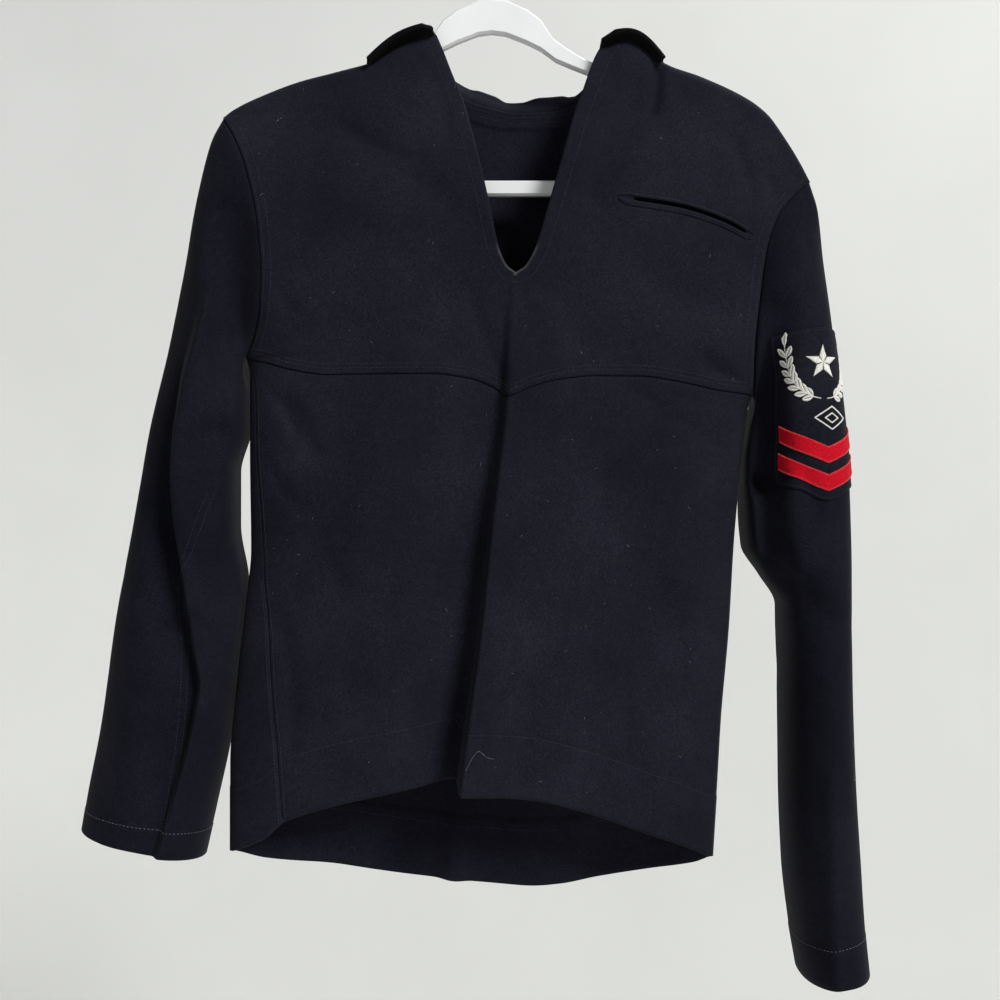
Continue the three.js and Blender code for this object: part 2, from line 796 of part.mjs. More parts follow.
function addBack(cloth, columns) {
  const { left, right } = sides;
  const ridgeRow = (side) => columns.map((u) => {
    const x = lerp(side.tip.x, side.neck, u);
    return { x, z: ridge(x, "z") };
  });
  const neckRow = steps(neckColumns).map((t) => ({ x: neckline(t, "x"), z: neckline(t, "z") }));
  const top = [...ridgeRow(left), ...neckRow.slice(1, -1), ...ridgeRow(right).reverse()];
  const shares = top.map((_, j) => j / (top.length - 1));
  const levelX = (share) => lerp(left.underarm.x, right.underarm.x, round(share));
  const level = shares.map((share) => ({
    x: levelX(share),
    z: lerp(left.underarm.z, right.underarm.z, share) - 6 * Math.sin(Math.PI * share),
  }));
  const upper = steps(yokeRows).map((v) =>
    shares.map((share, j) => {
      if (j === 0) return armholePoint(left, "back", v);
      if (j === shares.length - 1) return armholePoint(right, "back", v);
      const weight = round(v);
      const holes = [left, right].map((side) => {
        const z = lerp(side.tip.z, side.underarm.z, weight);
        return { x: side.holeAt.back(z, "x"), z };
      });
      const mix = (key) =>
        (1 - weight) * top[j][key] +
        weight * level[j][key] +
        (1 - share) * (holes[0][key] - lerp(left.tip[key], left.underarm[key], weight)) +
        share * (holes[1][key] - lerp(right.tip[key], right.underarm[key], weight));
      return bodyPoint(mix("x"), mix("z"), "back");
    }),
  );
  cloth.addGrid("back", upper, false);

  const foot = shares.map((share) => {
    const x = lerp(left.fold.at(-1).x, right.fold.at(-1).x, round(share));
    return { x, z: hem.back(x, "z") };
  });
  const lower = steps(skirtRows).map((v) =>
    shares.map((share, j) => {
      if (j === 0) return foldPoint(left, v);
      if (j === shares.length - 1) return foldPoint(right, v);
      const x = lerp(foldPoint(left, v).x, foldPoint(right, v).x, round(share));
      return bodyPoint(x, lerp(level[j].z, foot[j].z, v), "back");
    }),
  );
  cloth.addGrid("back", lower, false);
}

function addSleeves(cloth) {
  for (const name of Object.keys(sides)) {
    const grid = steps(sleeveRows, (t) => t ** 1.15).map((at) =>
      steps(2 * yokeRows).map((t) => sleevePoint(name, at, t)),
    );
    cloth.addGrid(`sleeve_${name}`, grid, name === "left");
  }
}

// The collar: a row of stations round the neck, each with its seam, the roll at the top and the flap's
// outer edge. Bulge is how far the flap stands up between the last two.
const collarStations = named("at seamX seamY seamZ rollX rollY rollZ edgeX edgeY edgeZ bulge", [
  [0, -49, -9, -96, -60, -9, -95, -104, -8, -119, 4],
  [0.03, -50, -22, -96, -59, -24, -93.5, -104, -21, -120, 5],
  [0.06, -54, -3, -87, -59.5, -3, -88.5, -106, -2, -117, 4],
  [0.1, -52, 10, -93, -57, 13, -91, -111, 16, -125, 3],
  [0.17, -42, 20, -116, -46, 24, -104, -119, 30, -165, 0],
  [0.26, -33, 24, -130, -37, 30, -121, -138, 30, -262, 0],
  [0.36, -18, 26, -141, -20, 34, -129, -166, 30, -382, 0],
  [0.5, 18, 27, -150, 18, 36, -141, 18, 30, -388, 0],
  [0.64, 60, 26, -147, 62, 34, -136, 202, 30, -382, 0],
  [0.74, 79, 24, -138, 83, 30, -123, 176, 30, -262, 0],
  [0.83, 89, 20, -122, 94, 24, -106, 157, 30, -165, 0],
  [0.9, 94, 13, -106, 101, 15, -97, 149, 18, -128, 6],
  [0.94, 95, 1, -99.3, 104, 0, -93.8, 146, 0, -114, 10.5],
  [0.97, 94, -19, -104, 105, -23, -98, 145, -20, -119, 9],
  [1, 95, -10, -105, 106, -9, -99, 144, -8, -118, 8],
]);
const station = through(collarStations, "at");
const collarClear = 4.4; // from the back's surface to the flap
const collarFrontClear = 0.7; // from the yoke's surface to the flap's front ends

// A point of the collar's under side: across runs from the neck seam over the roll to the outer edge.
function collarPoint(at, across) {
  const column = (part, axis) => station(at, part + axis);
  const rollShare = 0.18;
  const fallen = Math.max((across - rollShare) / (1 - rollShare), 0);
  const pick = (axis) => {
    const [seam, roll, edge] = ["seam", "roll", "edge"].map((part) => column(part, axis));
    if (across <= rollShare) return lerp(seam, roll, Math.sin((Math.PI / 2) * (across / rollShare)));
    return lerp(roll, edge, fallen);
  };
  const point = new THREE.Vector3(pick("X"), pick("Y"), pick("Z"));
  point.z += station(at, "bulge") * Math.sin(Math.PI * fallen);
  const inFront = Math.min(point.y, bodyY(point.x, point.z, "front") - yokeLap - collarFrontClear);
  const before = 1 - smoothstep(at, 0.03, 0.05) * (1 - smoothstep(at, 0.95, 0.97));
  point.y = lerp(point.y, inFront, before);
  const out = smoothstep(across, rollShare, 0.4);
  const behind = smoothstep(at, 0.04, 0.12) * (1 - smoothstep(at, 0.88, 0.96));
  const floor = bodyY(point.x, point.z - collarClear, "back") + 0.8 * collarClear;
  point.y = lerp(point.y, Math.max(floor, lerp(point.y, floor, out)), behind);
  return point;
}

function collarGeometry() {
  const cloth = new Cloth();
  const stations = collarStations.flatMap((row, i) => {
    const next = collarStations[i + 1];
    if (!next) return [row.at];
    const parts = Math.max(1, Math.round((next.at - row.at) / 0.036));
    return steps(parts).slice(0, -1).map((t) => lerp(row.at, next.at, t));
  });
  const grid = [0, 0.09, 0.18, 0.24, 0.32, 0.42, 0.54, 0.66, 0.78, 0.9, 1].map((across) =>
    stations.map((at) => collarPoint(at, across)),
  );
  cloth.addGrid("collar", grid, false);
  return cloth.wall("collar", collarWall, 0);
}

// The hanger: one flat moulding with a trouser bar, and a round hook
const hangerThickness = 9;
const hangerLoop = [
  { outX: 0, outZ: -62, inX: 0, inZ: -91.5 },
  { outX: 12, outZ: -63, inX: 12, inZ: -93 },
  { outX: 30, outZ: -71, inX: 30, inZ: -100 },
  { outX: 42, outZ: -80, inX: 42, inZ: -106 },
  { outX: 52, outZ: -95.5, inX: 55, inZ: -115.5 },
  { outX: 64, outZ: -104.5, inX: 68, inZ: -121 },
  { outX: 80, outZ: -114, inX: 82, inZ: -126.5 },
  { outX: 100, outZ: -122.5, inX: 100, inZ: -133.5 },
  { outX: 131, outZ: -131, inX: 131, inZ: -141.5 },
  { outX: 165, outZ: -138.5, inX: 164, inZ: -149 },
  { outX: 195, outZ: -149.5, inX: 188, inZ: -159 },
  { outX: 206, outZ: -161, inX: 194, inZ: -170 },
  { outX: 206, outZ: -206, inX: 194, inZ: -204 },
  { outX: 201, outZ: -223, inX: 190, inZ: -213 },
  { outX: 186, outZ: -231, inX: 180, inZ: -218 },
];
const hookRadius = 25;
const hookWire = 8;
const hookSides = 10;

// A mesh as a manifold solid, and back
function toSolid(geometry) {
  const bare = geometry.index ? geometry.toNonIndexed() : geometry.clone();
  bare.deleteAttribute("normal");
  bare.deleteAttribute("uv");
  const merged = mergeVertices(bare, 1e-4);
  return new wasm.Manifold(
    new wasm.Mesh({
      numProp: 3,
      vertProperties: merged.attributes.position.array,
      triVerts: new Uint32Array(merged.index.array),
    }),
  );
}

function toGeometry(solid) {
  const { vertProperties, triVerts } = solid.getMesh();
  const made = new THREE.BufferGeometry();
  made.setAttribute("position", new THREE.BufferAttribute(Float32Array.from(vertProperties), 3));
  made.setIndex(new THREE.BufferAttribute(Uint32Array.from(triVerts), 1));
  return made;
}

// The hanger's arms and bar as one loop with chamfered edges
function hangerFrame() {
  const mirrored = hangerLoop
    .slice(1)
    .reverse()
    .map((row) => ({ ...row, outX: -row.outX, inX: -row.inX }));
  const loop = [...hangerLoop, ...mirrored];
  const frame = new Shell();
  const [half, edge] = [hangerThickness / 2, 2];
  const rings = loop.map(({ outX, outZ, inX, inZ }) => {
    const chamfer = edge / Math.hypot(outX - inX, outZ - inZ);
    const section = [
      [chamfer, -half],
      [1 - chamfer, -half],
      [1, edge - half],
      [1, half - edge],
      [1 - chamfer, half],
      [chamfer, half],
      [0, half - edge],
      [0, edge - half],
    ];
    return section.map(([share, y]) =>
      frame.add(new THREE.Vector3(lerp(outX, inX, share), y, lerp(outZ, inZ, share))),
    );
  });
  rings.forEach((ring, i) => {
    const next = rings[(i + 1) % rings.length];
    ring.forEach((id, n) => {
      const m = (n + 1) % ring.length;
      frame.face([id, ring[m], next[m], next[n]]);
    });
  });
  return frame.geometry();
}

function hangerGeometry() {
  const centre = new THREE.Vector3(0, 0, hookWire / 2 - hookRadius);
  const onHook = (degrees) => {
    const angle = THREE.MathUtils.degToRad(degrees);
    const arm = new THREE.Vector3(Math.sin(angle), 0, Math.cos(angle));
    return arm.multiplyScalar(hookRadius).add(centre);
  };
  const neck = [new THREE.Vector3(0, 0, -68), new THREE.Vector3(0, 0, -60), new THREE.Vector3(1, 0, -52)];
  const bend = [...neck, ...[130, 100, 70, 40, 10, -20, -50, -80, -105].map(onHook)];
  const section = new THREE.Shape();
  section.absarc(0, 0, hookWire / 2, 0, 2 * Math.PI);
  const ring = new THREE.Shape(section.getPoints(hookSides).slice(0, -1));
  const hook = new THREE.ExtrudeGeometry(ring, {
    steps: 30,
    extrudePath: new THREE.CatmullRomCurve3(bend),
  });
  return toGeometry(toSolid(hangerFrame()).add(toSolid(hook)));
}

// Pieces laid on the cloth: the point of the wall below each place of a grid, and the way out from there
const laidGap = 0.45;
function laidOn(piece, grid, thickness) {
  const made = new Cloth();
  made.addGrid(
    piece,
    grid.map((row) => row.map(({ point, out }) => point.clone().addScaledVector(out, laidGap))),
    true,
  );
  return made.wall(piece, thickness, 0);
}

function firstHit(mesh, from, along) {
  const [hit] = new THREE.Raycaster(from, along).intersectObject(mesh);
  return hit.point;
}

// The pocket's welt on the yoke, below its slit
const weltThickness = 1;
const weltHeight = 8;
const weltSlit = through(
  [
    { x: 105, z: -238 },
    { x: 120, z: -240 },
    { x: 156, z: -245 },
    { x: 190, z: -255 },
    { x: 220, z: -269 },
  ],
  "x",
);

function weltGeometry(yoke) {
  const along = new THREE.Vector3(0, 1, 0);
  const grid = [0, 0.5, 1].map((down) =>
    steps(20).map((t) => {
      const x = lerp(105, 220, t);
      const z = weltSlit(x, "z") - down * weltHeight;
      const point = firstHit(yoke, new THREE.Vector3(x, -200, z), along);
      const level = bodyY(x, z, "front");
      const out = new THREE.Vector3(bodyY(x + 1, z, "front") - level, -1, bodyY(x, z + 1, "front") - level);
      return { point, out: out.normalize() };
    }),
  );
  return laidOn("pocket_welt", grid, weltThickness);
}

// The rating badge on the right sleeve. Each point is given by its distance round the sleeve from the
// badge's middle line, and by its height.
const badgeMiddleX = 276;
const badgeHalfWidth = 47;
const badgeThickness = 1.1;
const chevronHalfWidth = 42;
const chevronHeight = 13.5;
const chevronThickness = 0.9;
const chevronTips = { chevron_upper: -448, chevron_lower: -471 };
const badgeTop = through(
  [
    { s: -47, z: -356 },
    { s: 0, z: -349 },
    { s: 47, z: -352 },
  ],
  "s",
);
const badgeFoot = through(
  [
    { s: -47, z: -479 },
    { s: -24, z: -483 },
    { s: 0, z: -492 },
    { s: 24, z: -483 },
    { s: 47, z: -479 },
  ],
  "s",
);

// The sleeve's outline at one height, as points round its axis from front to back, with their lengths
function sleeveOutline(mesh, z) {
  const axis = new THREE.Vector3(262, 12, z);
  const rows = steps(70).map((t) => {
    const angle = THREE.MathUtils.degToRad(lerp(-130, 60, t));
    const way = new THREE.Vector3(Math.cos(angle), Math.sin(angle), 0);
    const { x, y } = firstHit(mesh, axis.clone().addScaledVector(way, 150), way.negate());
    return { x, y, s: 0 };
  });
  rows.slice(1).forEach((row, i) => {
    row.s = rows[i].s + Math.hypot(row.x - rows[i].x, row.y - rows[i].y);
  });
  const start = rows.find((row) => row.x >= badgeMiddleX).s;
  return through(
    rows.map((row) => ({ ...row, s: row.s - start })),
    "s",
  );
}

const outlinePitch = 6; // between the heights at which the sleeve's outline is taken
const outlines = new Map();
function outlineNear(mesh, level) {
  if (!outlines.has(level)) outlines.set(level, sleeveOutline(mesh, level * outlinePitch));
  return outlines.get(level);
}

function badgePoint(mesh, s, z, lift) {
  const level = Math.floor(z / outlinePitch);
  const [low, high] = [level, level + 1].map((at) => outlineNear(mesh, at));
  const share = z / outlinePitch - level;
  const at = (place, column) => lerp(low(place, column), high(place, column), share);
  const [runX, runY] = ["x", "y"].map((column) => at(s + 2, column) - at(s - 2, column));
  const out = new THREE.Vector3(runY, -runX, 0).normalize();
  return { point: new THREE.Vector3(at(s, "x"), at(s, "y"), z).addScaledVector(out, lift), out };
}

function badgeGeometry(sleeve) {
  const grid = steps(14).map((down) =>
    steps(26).map((t) => {
      const s = lerp(-badgeHalfWidth, badgeHalfWidth, t);
      return badgePoint(sleeve, s, lerp(badgeTop(s, "z"), badgeFoot(s, "z"), down), 0);
    }),
  );
  return laidOn("badge_ground", grid, badgeThickness);
}

function chevronGeometry(sleeve, name) {
  const lift = laidGap + badgeThickness;
  const grid = [0, 0.5, 1].map((down) =>
    steps(18).map((t) => {
      const s = lerp(-chevronHalfWidth, chevronHalfWidth, t);
      const z = chevronTips[name] + (18 * Math.abs(s)) / chevronHalfWidth - down * chevronHeight;
      return badgePoint(sleeve, s, z, lift);
    }),
  );
  return laidOn(name, grid, chevronThickness);
}

const colours = { wool: "#1a1b26", badge: "#161824", red: "#c8141f", white: "#e9e6df", plastic: "#efeff0" };
const cloth = new Cloth();
addBody(cloth);
addSleeves(cloth);

const jumper = new THREE.Group();
function addPiece(name, geometry, color, roughness = 0.92) {
  const side = THREE.DoubleSide;
  const material = new THREE.MeshStandardMaterial({ color, roughness, metalness: 0, side });
  const mesh = new THREE.Mesh(geometry, material);
  mesh.name = name;
  jumper.add(mesh);
  return mesh;
}

addPiece("front", cloth.wall("front", 0, clothWall), colours.wool);
const yokeMesh = addPiece("front_yoke", cloth.wall("front_yoke", yokeLap, clothWall), colours.wool);
addPiece("back", cloth.wall("back", 0, clothWall), colours.wool);
addPiece("sleeve_left", cloth.wall("sleeve_left", 0, clothWall), colours.wool);
const sleeveMesh = addPiece("sleeve_right", cloth.wall("sleeve_right", 0, clothWall), colours.wool);
addPiece("collar", collarGeometry(), colours.wool);
addPiece("pocket_welt", weltGeometry(yokeMesh), colours.wool);
addPiece("badge_ground", badgeGeometry(sleeveMesh), colours.badge);
for (const name of Object.keys(chevronTips)) addPiece(name, chevronGeometry(sleeveMesh, name), colours.red);
addPiece("hanger", hangerGeometry(), colours.plastic, 0.4);

export default jumper;
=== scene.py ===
import math

import bpy
import numpy as np
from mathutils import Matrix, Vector
from mathutils.bvhtree import BVHTree


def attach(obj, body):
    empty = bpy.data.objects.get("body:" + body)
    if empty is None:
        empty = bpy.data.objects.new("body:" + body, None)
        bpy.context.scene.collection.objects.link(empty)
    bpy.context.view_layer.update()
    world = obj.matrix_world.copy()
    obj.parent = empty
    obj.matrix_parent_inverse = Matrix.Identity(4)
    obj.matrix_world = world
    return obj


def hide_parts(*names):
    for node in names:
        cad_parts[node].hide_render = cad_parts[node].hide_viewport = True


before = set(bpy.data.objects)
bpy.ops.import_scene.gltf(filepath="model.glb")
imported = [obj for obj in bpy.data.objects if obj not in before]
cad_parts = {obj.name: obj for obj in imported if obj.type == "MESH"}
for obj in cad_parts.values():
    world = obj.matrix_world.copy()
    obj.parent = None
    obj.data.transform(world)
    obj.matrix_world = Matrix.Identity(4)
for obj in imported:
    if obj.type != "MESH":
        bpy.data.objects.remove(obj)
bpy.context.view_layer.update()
print("frame loaded")

# Sizes are in millimetres. Pieces are scaled to metres when their mesh is made.
mm = 0.001


# Curves through short tables
def rows(columns, *values):
    return {name: np.array([row[i] for row in values], float) for i, name in enumerate(columns.split())}


# A smooth curve that keeps to the rises and falls of its table
def through(table, place, column):
    places, values = table[place], table[column]
    if places[0] > places[-1]:
        places, values = places[::-1], values[::-1]
    gaps = np.diff(places)
    slopes = np.diff(values) / gaps
    product = slopes[:-1] * slopes[1:]
    total = np.where(product > 0, slopes[:-1] + slopes[1:], 1)
    inner = np.where(product > 0, 2 * product / total, 0)
    leans = np.concatenate([slopes[:1], inner, slopes[-1:]])

    def curve(at):
        at = np.clip(at, places[0], places[-1])
        i = np.clip(np.searchsorted(places, at, side="right") - 1, 0, len(gaps) - 1)
        t = (at - places[i]) / gaps[i]
        start = values[i] * (2 * t**3 - 3 * t**2 + 1) + leans[i] * gaps[i] * (t**3 - 2 * t**2 + t)
        return start + values[i + 1] * (3 * t**2 - 2 * t**3) + leans[i + 1] * gaps[i] * (t**3 - t**2)

    return curve


# Adds each row's place along the line, from 0 to 1
def paced(table):
    length = np.concatenate([[0], np.cumsum(np.hypot(np.diff(table["x"]), np.diff(table["z"])))])
    return {**table, "at": length / length[-1]}


def mix(a, b, t):
    return a + (b - a) * t


def smooth(t, low, high):
    t = np.clip((t - low) / (high - low), 0, 1)
    return t * t * (3 - 2 * t)


def rounded(t):
    return (1 - np.cos(np.pi * t)) / 2


def power(value, exponent):
    return np.sign(value) * np.abs(value) ** exponent


# Shoulders, sides, neck slit and hems
ridge = through(
    rows(
        "x z",
        (-230, -165), (-221, -158), (-199, -147), (-165, -134), (-131, -125), (-100, -116), (-79, -102),
        (-66, -95.5), (-54, -88.5), (96, -101), (107, -95.5), (117, -93), (127, -98), (139, -110),
        (148, -118), (179, -129.5), (218, -148), (235, -161), (249, -180), (261.5, -200), (272, -220),
    ),
    "x", "z",
)
sides = {
    "left": {
        "tip": (-230, -165),
        "neck": -54,
        "underarm": (-211, -370),
        "opening": {"front": 26, "back": 26},
        "front": rows(
            "z x", (-165, -230), (-186, -217), (-213, -206), (-256, -196), (-294, -193), (-332, -196),
            (-357, -203), (-370, -211),
        ),
        "back": rows(
            "z x", (-165, -230), (-191, -221), (-230, -212), (-280, -205), (-330, -206), (-370, -211),
        ),
        "fold": rows(
            "z x", (-370, -211), (-385, -208), (-449, -208), (-535, -207), (-575, -211), (-645, -219),
            (-720, -225), (-793, -225),
        ),
    },
    "right": {
        "tip": (272, -220),
        "neck": 96,
        "underarm": (224, -402),
        "opening": {"front": 15, "back": 22},
        "front": rows(
            "z x", (-220, 272), (-234, 256), (-252, 242), (-280, 232), (-322, 226), (-365, 223),
            (-402, 224),
        ),
        "back": rows("z x", (-220, 272), (-240, 260), (-280, 245), (-330, 233), (-402, 224)),
        "fold": rows(
            "z x", (-402, 224), (-415, 220), (-475, 213), (-531, 208), (-600, 204), (-681, 197),
            (-733, 194), (-798, 190),
        ),
    },
}
for side in sides.values():
    side["holeAt"] = {face: through(side[face], "z", "x") for face in ("front", "back")}
    side["foldAt"] = through(side["fold"], "z", "x")
    side["foldFoot"] = (side["fold"]["x"][-1], side["fold"]["z"][-1])

seamTurn = through(
    rows(
        "z shift", (-370, 0), (-404, 6), (-449, 7), (-492, 10), (-546, 14), (-593, 24), (-660, 36),
        (-707, 45), (-798, 52),
    ),
    "z", "shift",
)
slitRows = {
    "left": paced(rows(
        "x z", (-54, -88.5), (-49.5, -94), (-45, -104), (-33, -136), (-24, -159), (-14, -197),
        (-4, -239), (4.5, -280), (8, -290), (13, -299), (20, -304),
    )),
    "right": paced(rows(
        "x z", (96, -101), (87, -119.5), (77.5, -147), (70, -168), (62, -197), (55, -222), (46.5, -252),
        (36.5, -284), (32, -293), (27, -300), (20, -304),
    )),
}
slitAt = {name: (through(t, "at", "x"), through(t, "at", "z")) for name, t in slitRows.items()}
creaseRows = rows(
    "z x valley crest",
    (-304, 20, 0, 0), (-359, 16, 3, 2), (-406, 14, 7, 4), (-467, 7, 11, 6), (-525, 0, 14, 8),
    (-575, -5, 17, 9), (-625, -11, 19, 11), (-674, -18, 21, 12), (-740, -26, 24, 13),
)
slitFoot = creaseRows["z"][0]
creaseX, creaseValley, creaseCrest = (
    through(creaseRows, "z", name) for name in ("x", "valley", "crest")
)
creaseAtYoke = {"x": 14, "z": -406}
creaseAtHem = -26
yokeSeam = through(
    rows(
        "x z", (-211, -370), (-191, -375), (-168, -382), (-135, -387), (-93, -387), (-51, -387),
        (-18, -391), (3, -399), (14, -406), (32, -399), (57, -392), (90, -389), (124, -389),
        (157, -393), (190, -399), (224, -402),
    ),
    "x", "z",
)
hemAt = {
    "front": through(
        rows(
            "x z", (-225, -793), (-192, -777), (-175, -762), (-144, -750), (-110, -741), (-68, -733),
            (-31, -727), (-26, -735), (7, -736), (40, -740), (89, -755), (130, -771), (163, -784),
            (190, -798),
        ),
        "x", "z",
    ),
    "back": through(
        rows(
            "x z", (-225, -793), (-198, -804), (-136, -815), (-64, -825), (-11, -831), (25, -833),
            (60, -832), (96, -826), (141, -815), (176, -806), (190, -798),
        ),
        "x", "z",
    ),
}
neckRows = paced(rows(
    "x z", (-54, -88.5), (-51, -100), (-46, -112), (-38, -125), (-24, -141), (0, -149), (20, -153),
    (50, -152), (73, -147), (86, -133), (93, -115), (96, -101),
))
neckline = (through(neckRows, "at", "x"), through(neckRows, "at", "z"))

# Folds. Each is the X and Z of its two ends, then its bow, depth and width. The bow is how far its
# middle lies off the straight line. A fold is a trough, or a swell where its depth is negative.
softFolds = {
    "front": (
        (-118, -186, -18, -258, 0, 4, 15), (-150, -160, -70, -150, 0, -3, 18),
        (142, -128, 136, -165, 0, 5, 5), (122, -168, 84, -236, 0, 5, 12),
        (180, -376, 218, -392, 0, 3, 8), (-172, -410, -150, -452, 0, 3, 9),
        (-60, -560, -70, -720, 0, -5, 30), (100, -480, 150, -600, 0, 4, 24),
        (60, -610, 55, -735, 0, -4, 26),
    ),
    "back": (
        (10, -420, -34, -820, 0, 7, 9), (-120, -460, -140, -800, 0, -7, 34),
        (110, -470, 96, -810, 0, -8, 38), (40, -560, 40, -825, 0, 5, 22),
        (-190, -260, -120, -420, 0, 6, 20), (215, -290, 150, -440, 0, 6, 20),
    ),
}


def softDepth(x, z, folds):
    depth = 0
    for fromX, fromZ, toX, toZ, bow, deep, width in folds:
        runX, runZ = toX - fromX, toZ - fromZ
        length = math.hypot(runX, runZ)
        t = np.clip(((x - fromX) * runX + (z - fromZ) * runZ) / length**2, 0, 1)
        bend = 4 * bow * t * (1 - t) / length
        off = np.hypot(x - fromX - t * runX + bend * runZ, z - fromZ - t * runZ - bend * runX)
        depth = depth + deep * np.exp(-((off / width) ** 2))
    return depth


# A sharp fold: the cloth falls back on the left of its line and stands out on the right
def sharpDepth(off, valley, crest, step, valleySpan, crestSpan):
    share = smooth(off, -step, 0)
    fallen = valley * np.exp(-((np.minimum(off + step, 0) / valleySpan) ** 2))
    raised = crest * np.exp(-((np.maximum(off, 0) / crestSpan) ** 2))
    return (1 - share) * fallen - share * raised


# The body's surface: Y at a place of its front or back
ridgeRadius = 11
swellDrop = 90
swell = {"front": 44, "back": 40}
sideFade = 0.16  # the share of the way to the middle over which the folds come in
sideRound = (2.2, 0.56)  # how full the body is between its side and its middle
openingBend = 0.7
creaseLook = {"step": 6, "valleySpan": 46, "crestSpan": 60}


def overRidge(fall):
    return np.sqrt(1 - (1 - np.clip(fall / ridgeRadius, 0, 1)) ** 2)


def sideShape(side, x, z, face, middle):
    tipZ, underZ = side["tip"][1], side["underarm"][1]
    edge = np.where(z > underZ, side["holeAt"][face](z), side["foldAt"](z))
    inward = np.clip((x - edge) / (middle - edge), 0, 1)
    full = (1 - (1 - inward) ** sideRound[0]) ** sideRound[1]
    down = np.clip((tipZ - z) / (tipZ - underZ), 0, 1)
    opened = side["opening"][face] * np.abs(np.sin(np.pi * down)) ** openingBend
    atEdge = ridgeRadius * np.sqrt(1 - down) + opened
    swollen = 1 - np.exp(-np.maximum(ridge(x) - z, 0) / swellDrop)
    atMiddle = ridgeRadius + (swell[face] - ridgeRadius) * swollen
    return atEdge + (atMiddle - atEdge) * full, smooth(inward, 0, sideFade)


def bodyY(x, z, face, fine=True):
    x, z = np.asarray(x, float), np.asarray(z, float)
    middle = creaseX(z)
    left, right = (sideShape(sides[name], x, z, face, middle) for name in ("left", "right"))
    over = overRidge(ridge(x) - z)
    out = over * np.where(x < middle, left[0], right[0])
    fade = over * np.where(x < middle, left[1], right[1])
    folds = softDepth(x, z, softFolds[face]) + (softDepth(x, z, creases[face]) if fine else 0)
    if face == "back":
        return out - folds * fade
    sharp = sharpDepth(x - middle, creaseValley(z), creaseCrest(z), **creaseLook)
    return -out + (folds + np.where(z < slitFoot, sharp, 0)) * fade


# Fine creases, placed from the photo on the front and made alike on the back
creases = {
    "front": (
        (-126, -178, -60, -206, -6, 1.6, 6), (-60, -120, -36, -190, 5, 1.4, 6),
        (-150, -250, -60, -300, 8, 1.2, 14), (-196, -250, -172, -330, -6, 2, 9),
        (-120, -330, -30, -352, 6, -1.3, 12), (139, -126, 133, -168, 1, 2.2, 2.6),
        (148, -124, 150, -160, -2, -1.5, 4), (125, -146, 84, -225, -7, 2, 6),
        (205, -190, 216, -262, 5, 2.4, 8), (236, -222, 222, -300, 6, 2.2, 6),
        (120, -300, 190, -330, -8, 1.4, 11), (40, -330, 60, -380, 4, -1.2, 10),
        (179, -384, 222, -397, 3, 1.8, 4), (127, -408, 179, -434, -4, 1.8, 7),
        (93, -476, 179, -441, 6, 1.6, 8), (-187, -402, -165, -440, 3, 2, 5),
        (-196, -452, -160, -500, -4, 1.5, 7), (-150, -520, -120, -640, 9, 1.6, 14),
        (-90, -430, -110, -560, -8, -1.6, 18), (-60, -640, -78, -720, 3, 1.8, 9),
        (-176, -600, -168, -700, 4, 1.8, 8), (60, -430, 44, -560, 7, -1.5, 16),
        (110, -640, 126, -740, -5, 2, 11), (160, -560, 176, -660, 5, -1.8, 13),
        (30, -650, 22, -730, 3, 1.6, 8), (180, -690, 176, -780, -3, 1.6, 9),
        (-14, -330, 12, -392, -4, 1.5, 7), (204, -440, 190, -520, -5, 2, 9),
    ),
    "back": (
        (-196, -240, -150, -330, 6, 2.6, 9), (-170, -180, -150, -250, -4, 1.6, 9),
        (230, -262, 186, -350, -6, 2.8, 10), (210, -180, 200, -250, 5, 1.6, 9),
        (-190, -400, -110, -440, -8, 2, 10), (205, -420, 120, -462, 8, 2.2, 11),
        (-60, -450, -90, -600, 8, 2, 14), (70, -430, 60, -560, -6, -1.8, 16),
        (-160, -560, -150, -700, 6, 2, 12), (140, -560, 160, -720, -8, 2.2, 14),
        (-90, -680, -96, -800, 4, -2, 14), (60, -700, 66, -815, -3, 2, 10),
        (0, -420, -26, -560, 4, 1.5, 9), (110, -700, 104, -790, 3, -1.8, 12),
    ),
}
hemDepth = 51
hemEmboss = 0.35
neckBand = 14  # the width of the doubled cloth inside the back of the neck


def bodyPoints(x, z, face):
    return np.stack(np.broadcast_arrays(x, bodyY(x, z, face), z), axis=-1)


# A patch between four edges in the XZ plane: u runs from the side to the middle, v from top to bottom
def patch(edges, u, v, weight):
    top, bottom, sideEdge, middle = edges
    u, v, weight = u[None, :], v[:, None], weight[:, None]
    corners = [edge(np.array([0.0, 1.0])) for edge in (top, bottom)]

    def blend(i):
        across = (1 - weight) * top(u[0])[i][None, :] + weight * bottom(u[0])[i][None, :]
        down = (1 - u) * sideEdge(v[:, 0])[i][:, None] + u * middle(v[:, 0])[i][:, None]
        (topSide, topMiddle), (footSide, footMiddle) = corners[0][i], corners[1][i]
        shared = (1 - weight) * mix(topSide, topMiddle, u) + weight * mix(footSide, footMiddle, u)
        return across + down - shared

    return blend(0), blend(1)


yokeRowCount, slitRowCount, skirtRowCount = 90, 58, 100
halfColumns, neckColumns, stripColumns = 64, 34, 14
slitShare = slitRowCount / yokeRowCount


